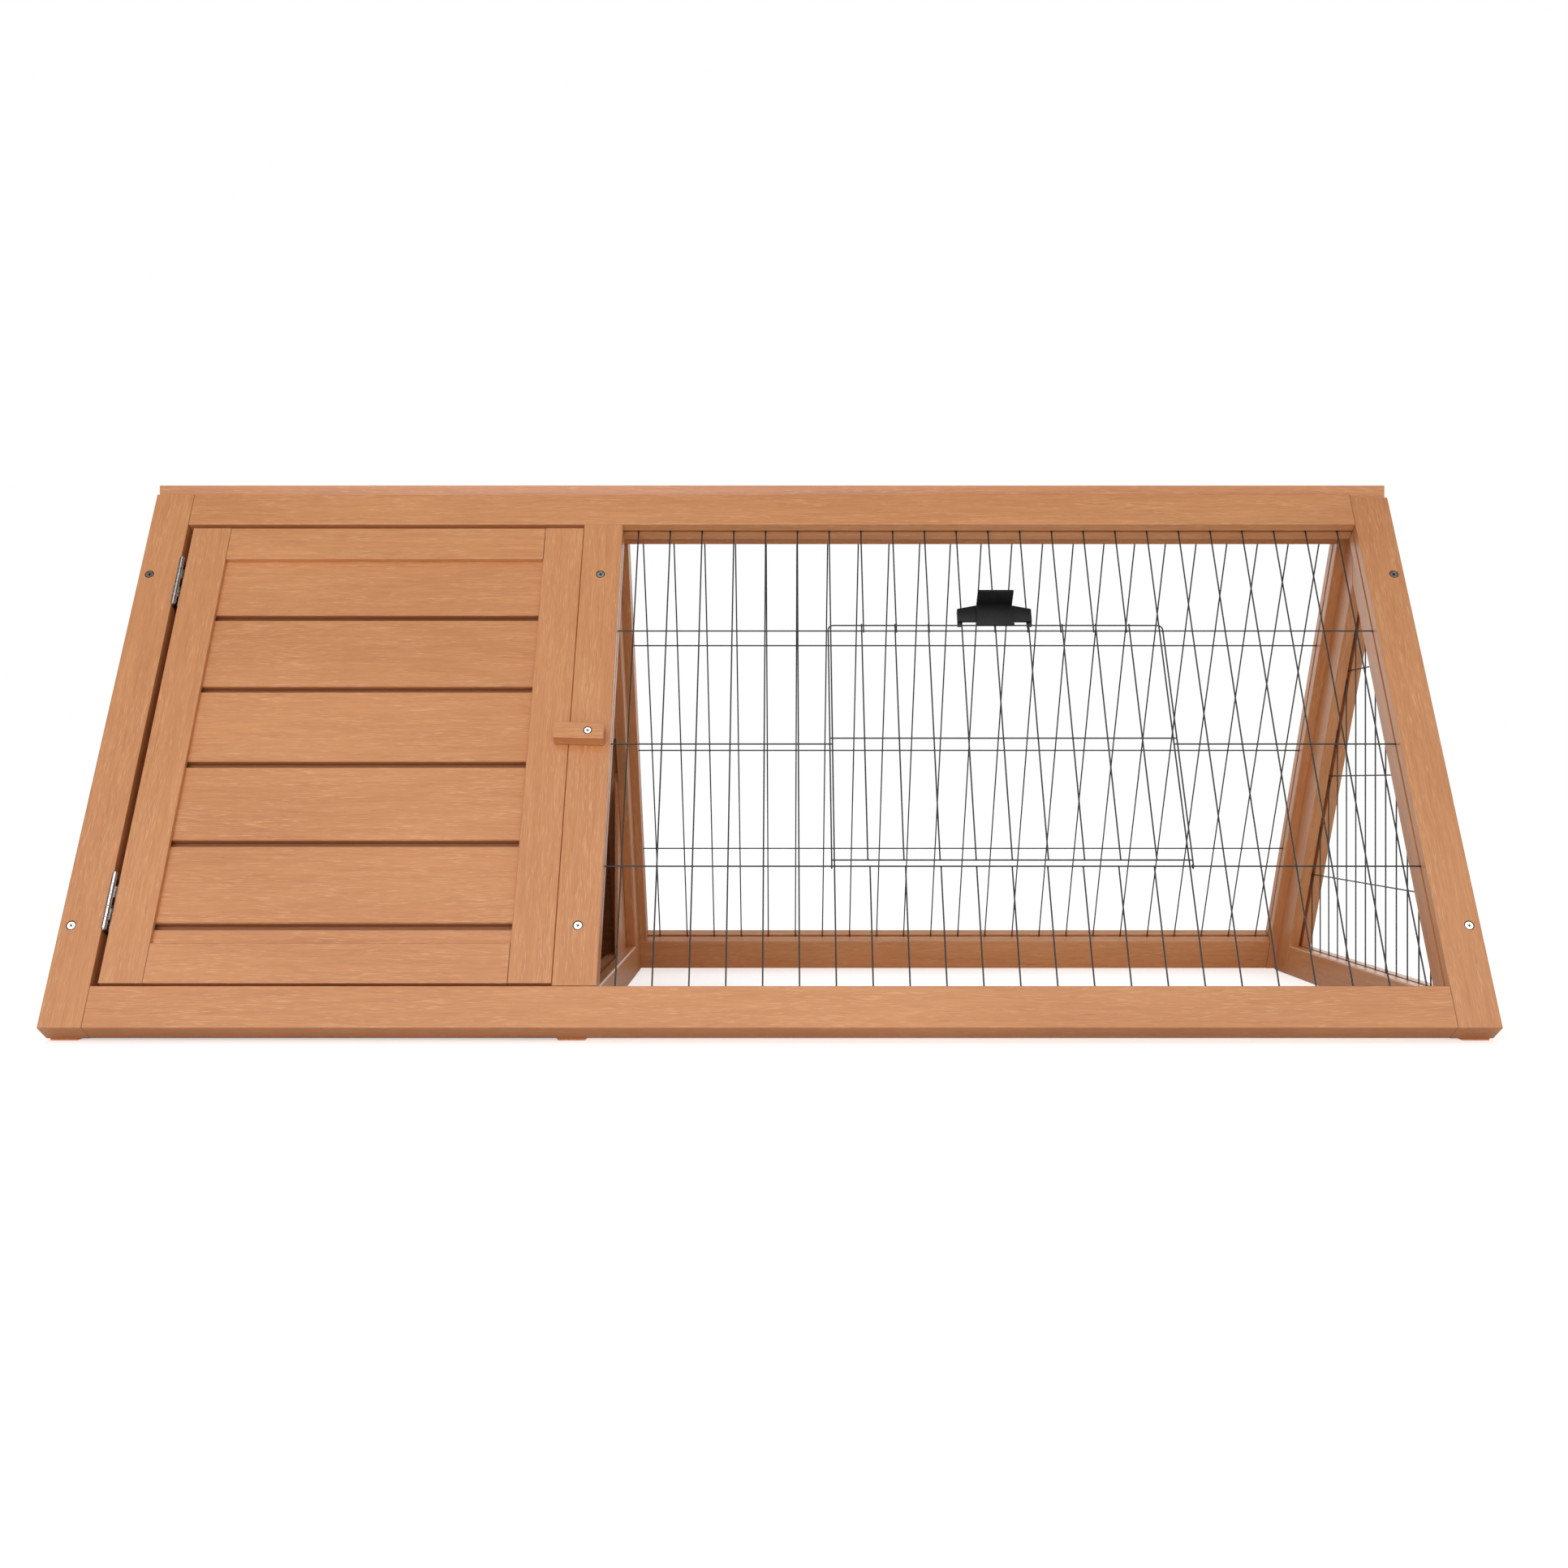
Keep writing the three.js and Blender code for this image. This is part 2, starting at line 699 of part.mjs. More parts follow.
function woodDoor(group) {
  const groove = block(
    [doorInnerX[0] - boardGrooveDepth, doorInnerX[1] + boardGrooveDepth],
    [doorInnerV[0] - boardGrooveDepth, doorInnerV[1] + boardGrooveDepth],
    boardGrooveW,
  );
  const pieces = {
    hinge_stile: stileBar([doorX[0], doorInnerX[0]], doorV),
    latch_stile: stileBar([doorInnerX[1], doorX[1]], doorV),
    bottom_rail: railBar(doorInnerX, [doorV[0], doorInnerV[0]]),
    top_rail: railBar(doorInnerX, [doorInnerV[1], doorV[1]]),
  };
  const slant = latchBevel / sideThickness;
  const bevelTool = outline([
    [sideThickness + toolReach, doorX[1] + slant * toolReach],
    [-toolReach, doorX[1] - latchBevel - slant * toolReach],
    [-toolReach, doorX[1] + toolReach],
    [sideThickness + toolReach, doorX[1] + toolReach],
  ]);
  const bevelSpan = [doorV[0] - toolReach, doorV[1] + toolReach];
  for (const [piece, bar] of Object.entries(pieces)) {
    const tools = [groove];
    if (piece === "latch_stile") tools.push(extruded(bevelTool, bevelSpan).applyMatrix4(alongV));
    add(`door_${piece}`, carved(bar, tools), stain(), group);
  }
  const joints = boardJoints(doorInnerV, doorBoards, doorLowestBoard, doorHighestBoard);
  const edges = [
    { v: doorInnerV[0] - boardInGroove },
    ...joints.map((v) => ({ v, joint: true })),
    { v: doorInnerV[1] + boardInGroove },
  ];
  const boardX = [doorInnerX[0] - boardInGroove, doorInnerX[1] + boardInGroove];
  for (let i = 0; i + 1 < edges.length; i++) {
    const section = boardSection(edges[i], edges[i + 1]);
    add(`door_board_${i + 1}`, extruded(section, boardX).applyMatrix4(alongX), board(), group);
  }
}

// The shelter's rear wall: the same boards, glued into one panel in the rear frame.
function rearBoards() {
  const { group, span } = sides.rear;
  const opening = [bottomRailTop, topRailBottom];
  const [back, face] = boardW;
  const x = span(leftStile[1] - boardInGroove, midStile[0] + boardInGroove);
  const panel = block(x, [opening[0] - boardInGroove, opening[1] + boardInGroove], boardW);
  const joints = boardJoints(opening, rearBoardCount).map((v) =>
    block(
      [x[0] - toolReach, x[1] + toolReach],
      [v - boardGap / 2, v + boardGap / 2],
      [back + boardTongue, face + toolReach],
    ),
  );
  add("rear_boards", carved(panel, joints), board(), group);
}

// ---- Hinges ----

function ring(outer, inner, v) {
  const shape = new THREE.Shape().absarc(0, 0, outer, 0, 2 * Math.PI);
  shape.holes.push(new THREE.Path().absarc(0, 0, inner, 0, 2 * Math.PI, true));
  return extruded(shape, v, circleSegments).applyMatrix4(alongV).translate(pinX, 0, pinW);
}

function hinge(name, centre, group) {
  const start = centre - hingeLength / 2;
  const pitch = (hingeLength + knuckleGap) / knuckles;
  const knuckle = (i) => [start + pitch * i, start + pitch * (i + 1) - knuckleGap];
  const indices = Array.from({ length: knuckles }, (_, i) => i);
  const own = (parity) => indices.filter((i) => i % 2 === parity);
  const bore = pinRadius + pinClearance;
  const long = [start, start + hingeLength];
  const round = new THREE.Shape().absarc(0, 0, bore, 0, 2 * Math.PI);
  const drill = extruded(round, [start - toolReach, long[1] + toolReach], circleSegments)
    .applyMatrix4(alongV)
    .translate(pinX, 0, pinW);

  // the frame leaf lies on the left stile and runs straight into its knuckles
  const frameX = [leftStile[1], leftStile[1] + leafThickness];
  const leafTop = pinW - barrelRadius - pinClearance;
  const frameLeaf = [block(frameX, long, [sideThickness - leafDepth, leafTop])];
  for (const i of own(0)) {
    frameLeaf.push(ring(barrelRadius, bore, knuckle(i)));
    frameLeaf.push(block(frameX, knuckle(i), [leafTop - leafThickness, pinW]));
  }
  add(`${name}_hinge_frame_leaf`, carved(joined(frameLeaf), [drill]), zinc(), group);

  // the door leaf lies on the door's edge, and webs reach across to its knuckles
  const doorLeafX = [doorX[0] - leafThickness, doorX[0]];
  const webTop = pinW - leafThickness / 2;
  const doorLeaf = [block(doorLeafX, long, [sideThickness - leafDepth, webTop])];
  for (const i of own(1)) {
    doorLeaf.push(ring(barrelRadius, bore, knuckle(i)));
    doorLeaf.push(block([pinX + bore, doorX[0]], knuckle(i), [webTop - leafThickness, webTop]));
  }
  add(`${name}_hinge_door_leaf`, carved(joined(doorLeaf), [drill]), zinc(), group);

  const head = (v, up) => [
    [pinHeadRadius, v],
    [pinHeadRadius, v + (up * pinHeadHeight) / 2],
    [0, v + up * pinHeadHeight],
  ];
  const low = start - knuckleGap;
  const high = long[1] + knuckleGap;
  const profile = [...head(low, -1).reverse(), [pinRadius, low], [pinRadius, high], ...head(high, 1)];
  add(`${name}_hinge_pin`, lathe(profile).translate(pinX, 0, pinW), zinc(), group);
}

// ---- Turn button ----

const buttonBase = sideThickness + buttonGap;
const buttonScrewW = buttonBase + buttonThickness - buttonScrew.sunk;

function turnButton(group) {
  const x = [buttonPivotFromEnd - buttonLength, buttonPivotFromEnd];
  const v = [-buttonWidth / 2, buttonWidth / 2];
  const body = extruded(roundedRectangle(v, [buttonBase, buttonBase + buttonThickness], edgeRound), x);
  const geometry = body
    .applyMatrix4(alongX)
    .rotateZ(THREE.MathUtils.degToRad(buttonTilt))
    .translate(buttonPivotX, buttonHeight, 0);
  const hole = screwHole(buttonScrew, buttonPivotX, buttonHeight, buttonScrewW);
  add("turn_button", carved(geometry, hole), stain(), group);
  const screw = standing(screwGeometry(buttonScrew), buttonPivotX, buttonHeight, buttonScrewW);
  add("turn_button_screw", screw, zinc(), group);
}

// ---- Triangular frames ----

// A flat piece drawn in Y and Z with its face edges chamfered, centred on x.
function flatPiece(points, x, thickness, chamfer) {
  const geometry = new THREE.ExtrudeGeometry(outline(points), {
    depth: thickness - 2 * chamfer,
    bevelEnabled: chamfer > 0,
    bevelThickness: chamfer,
    bevelSize: chamfer,
    bevelOffset: -chamfer,
    bevelSegments: 1,
  });
  return geometry
    .translate(0, 0, -(thickness - 2 * chamfer) / 2)
    .applyMatrix4(alongX)
    .translate(x, 0, 0);
}

// The opening of a frame, widened by some depth into the grooves.
function openingPoints(depth) {
  const half = (z) => innerHalfWidth(z) + depth / sin;
  const low = triangleRailHeight - depth;
  return [
    [-half(low), low],
    [half(low), low],
    [0, innerApex + depth / cos],
  ];
}

function triangleFrame(name, x, grooveWidth) {
  const inset = legWidth / sin;
  const front = [
    [-triangleHalfBase, 0],
    [-triangleHalfBase + inset, 0],
    [0, innerApex],
    [0, triangleApex],
  ];
  const rear = front.map(([y, z]) => [-y, z]).reverse();
  const gap = jointGap / sin;
  const rail = [
    [-innerHalfWidth(0) + gap, 0],
    [innerHalfWidth(0) - gap, 0],
    [innerHalfWidth(triangleRailHeight) - gap, triangleRailHeight],
    [-innerHalfWidth(triangleRailHeight) + gap, triangleRailHeight],
  ];
  const groove = flatPiece(openingPoints(triangleGrooveDepth), x, grooveWidth, 0);
  const place = Object.keys(triangleX).indexOf(name);
  const bores = (side) => {
    const { group, span } = sides[side];
    const [at] = span(screwX[place], screwX[place]);
    return frameScrewHoles(at).map((tool) => tool.applyMatrix4(group.matrixWorld));
  };
  const leg = (points, side) =>
    carved(flatPiece(points, x, triangleThickness, triangleChamfer), [groove, ...bores(side)]);
  add(`${name}_front_leg`, leg(front, "front"), stain());
  add(`${name}_rear_leg`, leg(rear, "rear"), stain());
  add(`${name}_foot_rail`, carved(flatPiece(rail, x, triangleThickness, triangleChamfer), [groove]), stain());
}

// Thin panels beside and above the divider's doorway.
function dividerPanels() {
  const depth = panelInGroove;
  const low = triangleRailHeight - depth;
  const edge = (z) => innerHalfWidth(z) + depth / sin;
  const cornerTop = innerApex + depth / cos - doorwayHalfWidth * tan;
  const front = [
    [-edge(low), low],
    [-doorwayHalfWidth, low],
    [-doorwayHalfWidth, cornerTop],
  ];
  const rear = front.map(([y, z]) => [-y, z]).reverse();
  const above = [
    [-edge(doorwayTop), doorwayTop],
    [edge(doorwayTop), doorwayTop],
    [0, innerApex + depth / cos],
  ];
  add("divider_front_panel", flatPiece(front, dividerX, panelThickness, 0), ply());
  add("divider_rear_panel", flatPiece(rear, dividerX, panelThickness, 0), ply());
  add("divider_top_panel", flatPiece(above, dividerX, panelThickness, 0), ply());
}

// Level boards, glued into one triangular panel, with their open joints outside.
function leftBoards() {
  const panel = flatPiece(openingPoints(endBoardInGroove), triangleX.left, boardThickness, 0);
  const face = triangleX.left - boardThickness / 2;
  const depth = 2 * (boardThickness - boardTongue);
  const joints = boardJoints([triangleRailHeight, innerApex], endBoardCount).map((z) =>
    new THREE.BoxGeometry(depth, 2 * triangleHalfBase, boardGap).translate(face, 0, z),
  );
  add("left_boards", carved(panel, joints), board());
}

function ridgeBatten() {
  const roundCentre = battenWidth / 2 - edgeRound;
  const seat = ridgeZ + roundCentre / tan + (edgeRound + jointGap) / sin - edgeRound;
  const across = [-battenWidth / 2, battenWidth / 2];
  const section = roundedRectangle(across, [seat, seat + battenHeight], edgeRound);
  const batten = extruded(section, [-halfLength, halfLength]);
  add("ridge_batten", batten.applyMatrix4(alongX), stain());
}

// ---- The object ----

const front = sides.front.group;
sideFrame("front");
sideFrame("rear");
add("front_mesh", sideGrid(sides.front.span, true), wireFinish(), front);
add("rear_mesh", sideGrid(sides.rear.span, false), wireFinish(), sides.rear.group);
add("wire_door", wireDoorGeometry(), wireFinish(), front);
add("wire_door_latch", latchGeometry(), plastic(), front);
woodDoor(front);
hingeNames.forEach((name, i) => hinge(name, hingeCentres[i], front));
turnButton(front);
rearBoards();
triangleFrame("left", triangleX.left, boardThickness + 2 * boardClearance);
triangleFrame("divider", triangleX.divider, triangleGroove);
triangleFrame("right", triangleX.right, triangleGroove);
leftBoards();
dividerPanels();
add("right_mesh", endGrid(), wireFinish());
ridgeBatten();

export default model;
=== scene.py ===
"""Looks of an outdoor rabbit run: stained timber frames, boards, welded wire and a wire door."""

import itertools
import math

import bmesh
import bpy
from mathutils import Matrix, Vector


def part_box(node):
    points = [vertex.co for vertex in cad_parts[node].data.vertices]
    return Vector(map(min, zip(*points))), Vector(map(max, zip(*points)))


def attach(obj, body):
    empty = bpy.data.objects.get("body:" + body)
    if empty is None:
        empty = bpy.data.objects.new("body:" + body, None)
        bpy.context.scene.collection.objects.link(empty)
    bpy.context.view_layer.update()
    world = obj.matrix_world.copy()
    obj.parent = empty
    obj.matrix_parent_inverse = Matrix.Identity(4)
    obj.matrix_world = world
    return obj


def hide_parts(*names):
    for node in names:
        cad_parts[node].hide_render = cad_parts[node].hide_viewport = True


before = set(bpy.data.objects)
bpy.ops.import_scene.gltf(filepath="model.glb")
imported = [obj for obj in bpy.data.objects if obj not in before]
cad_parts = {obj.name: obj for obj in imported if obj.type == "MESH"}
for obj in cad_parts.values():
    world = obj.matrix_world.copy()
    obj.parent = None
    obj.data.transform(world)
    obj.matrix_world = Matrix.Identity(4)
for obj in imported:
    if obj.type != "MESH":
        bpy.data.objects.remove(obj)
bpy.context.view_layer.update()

MM = 0.001

# ---- Places ----

# A side is drawn in side coordinates: x along the run, y up the slope and z out of it.
SLOPE = math.radians(60)
SIDE_HEIGHT = 547 * MM
SIDE_THICKNESS = 23 * MM
SIDE_LIFT = 1.5 * MM  # lower inner corner above the ground
BOTTOM_RAIL_TOP = 36.5 * MM
TOP_RAIL_WIDTH = 36 * MM
TOP_RAIL_LOW = SIDE_HEIGHT - TOP_RAIL_WIDTH

FRONT = Matrix.Translation((0, -SIDE_HEIGHT * math.cos(SLOPE), SIDE_LIFT)) @ Matrix.Rotation(SLOPE, 4, "X")
REAR = Matrix.Rotation(math.pi, 4, "Z") @ FRONT
# each side's place, and which way its x runs along the run
SIDES = {"front": (FRONT, 1), "rear": (REAR, -1)}


def ends(node):
    """Where a node starts and ends along the run."""
    low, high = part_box(node)
    return (low.x, high.x)


LEFT_END, LEFT_STILE_EDGE = ends("front_left_stile")
MID_STILE_EDGE = ends("front_mid_stile")[1]
MID_STILE_CENTRE = sum(ends("front_mid_stile")) / 2
RIGHT_STILE_EDGE = ends("front_right_stile")[0]
DOOR_EDGE = ends("door_hinge_stile")[0]

# ---- Shader sums ----


class Value:
    """One output of a node. Sums written with it add Math nodes to its tree."""

    def __init__(self, finish, socket):
        self.finish = finish
        self.socket = socket

    def math(self, operation, *others):
        inputs = dict(enumerate((self, *others)))
        return self.finish.node("ShaderNodeMath", inputs, operation=operation)

    def back(self, operation, other):
        return self.finish.node("ShaderNodeMath", {0: other, 1: self}, operation=operation)

    def __add__(self, other):
        return self.math("ADD", other)

    def __sub__(self, other):
        return self.math("SUBTRACT", other)

    def __mul__(self, other):
        return self.math("MULTIPLY", other)

    def __radd__(self, other):
        return self.back("ADD", other)

    def __rsub__(self, other):
        return self.back("SUBTRACT", other)

    def __rmul__(self, other):
        return self.back("MULTIPLY", other)


class Finish:
    """The node tree of a material or of the world, with one way to add a node."""

    def __init__(self, owner):
        owner.use_nodes = True
        self.tree = owner.node_tree
        self.tree.nodes.clear()

    def node(self, kind, inputs=None, out=0, stops=None, **settings):
        """Adds a node: its settings first, then the values or links of its sockets."""
        made = self.tree.nodes.new(kind)
        for name, setting in settings.items():
            setattr(made, name, setting)
        if stops:
            elements = made.color_ramp.elements
            while len(elements) < len(stops):
                elements.new(0.5)
            for element, (position, level) in zip(elements, stops):
                element.position = position
                element.color = (level, level, level, 1)
        for key, value in (inputs or {}).items():
            if isinstance(value, Value):
                self.tree.links.new(value.socket, made.inputs[key])
            else:
                made.inputs[key].default_value = value
        return None if out is None else Value(self, made.outputs[out])

    def close(self, kind, value):
        """Ends the tree in its output node."""
        self.node(kind, {"Surface": value}, out=None)

    def place(self):
        return self.node("ShaderNodeTexCoord", out="Object")

    def out_of_slope(self, place):
        """How far a place stands out from the inner face of the side it is on."""
        apart = self.node("ShaderNodeSeparateXYZ", {"Vector": place}, out="Y").math("ABSOLUTE")
        height = self.node("ShaderNodeSeparateXYZ", {"Vector": place}, out="Z") - SIDE_LIFT
        inner = SIDE_HEIGHT * math.cos(SLOPE) * math.sin(SLOPE)
        return apart * math.sin(SLOPE) + height * math.cos(SLOPE) - inner

    def blend(self, factor, low, high):
        """A colour between two colours."""
        inputs = {0: factor, 6: low, 7: high}
        return self.node("ShaderNodeMix", inputs, out=2, data_type="RGBA")

    def vector(self, operation, first, second):
        return self.node("ShaderNodeVectorMath", {0: first, 1: second}, operation=operation)

    def noise(self, place, scale, detail):
        inputs = {"Vector": place, "Scale": scale, "Detail": detail, "Roughness": 0.5}
        return self.node("ShaderNodeTexNoise", inputs, out="Fac")

    def grained(self, place, along, across, detail):
        """Noise with so many features a metre along the grain and across it."""
        stretched = self.vector("MULTIPLY", place, (along, across, across))
        return self.noise(stretched, scale=1.0, detail=detail)

    def ramp(self, value, *stops):
        return self.node("ShaderNodeValToRGB", {"Fac": value}, out="Color", stops=stops)

    def bump(self, height, strength, distance):
        inputs = {"Strength": strength, "Distance": distance, "Height": height}
        return self.node("ShaderNodeBump", inputs)


def colour(red, green, blue):
    """A colour as it is seen, 0 to 255, for a shader's socket."""

    def linear(level):
        level /= 255
        return level / 12.92 if level <= 0.04045 else ((level + 0.055) / 1.055) ** 2.4

    return (linear(red), linear(green), linear(blue), 1.0)


def finished(name, build, **constants):
    """A material: build gives the links of the shader, and constants its other sockets."""
    material = bpy.data.materials.new(name)
    look = Finish(material)
    inputs = {key.replace("_", " "): value for key, value in constants.items()}
    inputs.update(build(look))
    look.close("ShaderNodeOutputMaterial", look.node("ShaderNodeBsdfPrincipled", inputs, out="BSDF"))
    return material


# ---- Wood ----

STAIN_DEEP = colour(182, 115, 67)
STAIN_LIGHT = colour(227, 160, 107)
FLECK = colour(240, 192, 142)
PORE = colour(142, 84, 50)
# painted shade: a thin dark line at the seams where rail ends meet the stiles, for the shadow in the joint
SEAM_SHADE = colour(84, 46, 26)
SEAM_SHADE_WIDTH = 0.7 * MM
SEAM_SHADE_STOPS = ((0.4, 0.8), (1.0, 0.0))
# painted shade colour for the open joints between lapped boards, where each board's underside and the tongue
# below lie in shade
GROOVE_SHADE = colour(112, 62, 38)
# painted shade in the open joints between boards, over this depth, from so far above the side's inner face
JOINT_SHADE_FLOOR = 9.5 * MM
JOINT_SHADE_DEPTH = 8 * MM
JOINT_SHADE_STOPS = ((0.0, 0.0), (0.1, 1.0), (0.6, 0.8), (0.95, 0.0))
JOINT_SHADE_STRENGTH = 0.7

# patterns of the grain: features a metre along it and across it, and detail
SWAY = (11.0, 26.0, 1.0)
CLOUDS = (4.0, 13.0, 1.0)
BANDS = (12.0, 260.0, 2.0)
FIBRES = (40.0, 1100.0, 3.0)
DASHES = (80.0, 1250.0, 1.0)
PATCHES = (14.0, 90.0, 2.0)  # where the dashes gather
PORES = (60.0, 1500.0, 1.0)

SWAY_WIDTH = (6 * MM, 5 * MM)  # how far the grain wanders, to its two sides
TONE_WEIGHTS = (0.5, 0.55, 0.6)  # of clouds, bands and fibres in the tone
DASH_SHARE = 0.72  # of the dashes in a fleck; the rest is their patches
FLECK_STOPS = ((0.55, 0.0), (0.68, 1.0))
FLECK_STRENGTH = 0.38
PORE_STOPS = ((0.58, 0.0), (0.74, 1.0))
PORE_STRENGTH = 0.2
RELIEF_WEIGHTS = (0.6, 0.3, 0.5)  # of fibres, bands and pores in the relief


def stained_wood(name, turn, seams=(), lapped=False, shade=1.0):
    """Stained softwood. The turn lays the grain along the pattern's first axis, and seams are the
    places along the run where the piece's ends meet another; they get a thin line of painted
    shade, for the shadow in the joint. The open joints of lapped boards get painted shade in their depth."""

    def build(look):
        place = look.place()
        grain = look.node("ShaderNodeMapping", {"Vector": place, "Rotation": turn})
        # the grain wanders a little from side to side
        sway = look.grained(grain, *SWAY) - 0.5
        shift = look.node("ShaderNodeCombineXYZ", {"Y": sway * SWAY_WIDTH[0], "Z": sway * SWAY_WIDTH[1]})
        grain = look.vector("ADD", grain, shift)

        clouds, bands, fibres = (look.grained(grain, *pattern) for pattern in (CLOUDS, BANDS, FIBRES))
        dashes, patches, pores = (look.grained(grain, *pattern) for pattern in (DASHES, PATCHES, PORES))

        tone = 0.5
        for pattern, weight in zip((clouds, bands, fibres), TONE_WEIGHTS):
            tone = tone + (pattern - 0.5) * weight
        fleck = look.ramp(dashes * DASH_SHARE + patches * (1 - DASH_SHARE), *FLECK_STOPS)
        pore = look.ramp(pores, *PORE_STOPS)
        base = look.blend(tone, STAIN_DEEP, STAIN_LIGHT)
        base = look.blend(fleck * FLECK_STRENGTH, base, FLECK)
        base = look.blend(pore * PORE_STRENGTH, base, PORE)
        base = look.vector("MULTIPLY", base, (shade, shade, shade))
        if seams:
            # painted shade along the seams
            along = look.node("ShaderNodeSeparateXYZ", {"Vector": place}, out="X")
            first, second = ((along - seam).math("ABSOLUTE") for seam in seams)
            edge = first.math("MINIMUM", second) * (1 / SEAM_SHADE_WIDTH)
            base = look.blend(look.ramp(edge, *SEAM_SHADE_STOPS), base, SEAM_SHADE)
        if lapped:
            # painted shade inside the open joints of the boards, over their depth
            out = look.out_of_slope(place)
            groove_shade = look.ramp((out - JOINT_SHADE_FLOOR) * (1 / JOINT_SHADE_DEPTH), *JOINT_SHADE_STOPS)
            base = look.blend(groove_shade * JOINT_SHADE_STRENGTH, base, GROOVE_SHADE)
        raised, banded, sunk = RELIEF_WEIGHTS
        relief = fibres * raised + bands * banded - pore * sunk
        return {
            "Base Color": base,
            "Roughness": 0.33 + (fibres - 0.5) * 0.2,
            "Normal": look.bump(relief, strength=0.12, distance=0.4 * MM),
        }

    return finished(name, build)


ALONG_RUN = (0.0, 0.0, 0.0)
UP_FRONT = (-SLOPE, 0.0, -math.pi / 2)
UP_REAR = (SLOPE, 0.0, -math.pi / 2)
ACROSS_RUN = (0.0, 0.0, -math.pi / 2)


STANDING = ("left_stile", "mid_stile", "right_stile", "front_leg", "rear_leg", "front_panel", "rear_panel")
LEVEL_ACROSS = ("foot_rail", "left_boards", "top_panel")

WOOD = {
    "bar": stained_wood("stained_bars", ALONG_RUN),
    "board": stained_wood("stained_boards", ALONG_RUN, lapped=True),
    "rail": stained_wood("stained_rails", ALONG_RUN, seams=ends("front_top_rail")),
    "door_rail": stained_wood("stained_door_rails", ALONG_RUN, seams=ends("door_top_rail")),
    "front": stained_wood("stained_front_stiles", UP_FRONT, shade=0.99),
    "rear": stained_wood("stained_rear_stiles", UP_REAR, shade=0.96),
    "across": stained_wood("stained_end_rails", ACROSS_RUN, shade=0.95),
}


def wood_of(node):
    """The wood whose grain runs the length of a node."""
    if node.endswith(("hinge_stile", "latch_stile")):
        return WOOD["front"]
    if node.endswith(STANDING):
        return WOOD["rear" if "rear" in node else "front"]
    if node.endswith(LEVEL_ACROSS):
        return WOOD["across"]
    if node.endswith("_rail"):
        return WOOD["door_rail" if node.startswith("door_") else "rail"]
    return WOOD["board" if "board" in node else "bar"]


# ---- Other finishes ----


def coated_wire(look):
    mottle = look.noise(look.place(), scale=900.0, detail=3.0)
    base = look.blend(mottle, colour(44, 43, 42), colour(84, 83, 82))
    return {"Base Color": base, "Roughness": 0.3 + mottle * 0.3}


def moulded_plastic(look):
    place = look.place()
    pebble = look.noise(place, scale=2600.0, detail=2.0)
    haze = look.noise(place, scale=70.0, detail=2.0)
    base = look.blend(haze, colour(18, 18, 19), colour(28, 28, 28))
    return {
        "Base Color": base,
        "Roughness": 0.36 + haze * 0.2,
        "Normal": look.bump(pebble, strength=0.2, distance=0.2 * MM),
    }


DRAW_MARKS = (420.0, 2400.0, 1.0)  # features a metre along the marks and across them, and detail
DRAW_SLANT = (0.6, 0.3, 0.7)


def zinc_sheet(look):
    """Rolled zinc-plated sheet with fine slanting draw marks."""
    place = look.place()
    spangle = look.noise(place, scale=420.0, detail=3.0)
    slant = look.node("ShaderNodeMapping", {"Vector": place, "Rotation": DRAW_SLANT})
    marks = look.grained(slant, *DRAW_MARKS)
    bright = look.ramp(marks, (0.38, 0.0), (0.6, 1.0))
    base = look.blend(bright, colour(136, 136, 138), colour(240, 240, 240))
    return {
        "Base Color": base,
        "Roughness": 0.16 + spangle * 0.16,
        "Normal": look.bump(marks, strength=0.12, distance=0.1 * MM),
    }


def zinc_screw(look):
    """Bright zinc plate with faint haze, with painted shade in the recess and round the head's rim, for the
    shadow of the countersink gap.
    """
    place = look.place()
    haze = look.noise(place, scale=700.0, detail=2.0)
    base = look.blend(haze, colour(204, 204, 206), colour(248, 248, 249))
    # painted shade in the cross recess and round the head's rim, for the shadow in the recess and the
    # countersink gap
    painted_shade = look.node("ShaderNodeAttribute", {}, out="Fac", attribute_name="painted_shade")
    base = look.blend(painted_shade, base, colour(34, 28, 24))
    return {
        "Base Color": base,
        "Roughness": 0.07 + haze * 0.1 + painted_shade * 0.3,
        "Normal": look.bump(haze, strength=0.04, distance=0.2 * MM),
    }


WIRE = finished("coated_wire", coated_wire, Metallic=0.8)
PLASTIC = finished("moulded_plastic", moulded_plastic, Specular_IOR_Level=0.22)
ZINC_SHEET = finished("zinc_sheet", zinc_sheet, Metallic=1.0)
# zinc screws, with painted shade in their recess and round their rim
ZINC_SCREW = finished("zinc_screw", zinc_screw, Metallic=1.0)


def dress(node, material):
    """Gives a node of the frame its finish."""
    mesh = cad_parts[node].data
    mesh.materials.clear()
    mesh.materials.append(material)


# ---- Pieces ----

SMOOTH_BELOW = math.radians(35)  # faces that meet at less than this are shaded smooth
SOFTEN_ABOVE = math.radians(30)  # edges turning by more than this are rounded
SAME_POINT = 0.001 * MM


def piece(name, shape, material, replaced, body="root"):
    """Makes a finished object of a bmesh, which is used up, in place of a node of the frame."""
    mesh = bpy.data.meshes.new(name)
    bmesh.ops.recalc_face_normals(shape, faces=shape.faces)
    shape.to_mesh(mesh)
    shape.free()
    mesh.materials.append(material)
    made = bpy.data.objects.new(name, mesh)
    bpy.context.scene.collection.objects.link(made)
    for face in mesh.polygons:
        face.use_smooth = True
    mesh.set_sharp_from_angle(angle=SMOOTH_BELOW)
    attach(made, body)
    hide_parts(replaced)


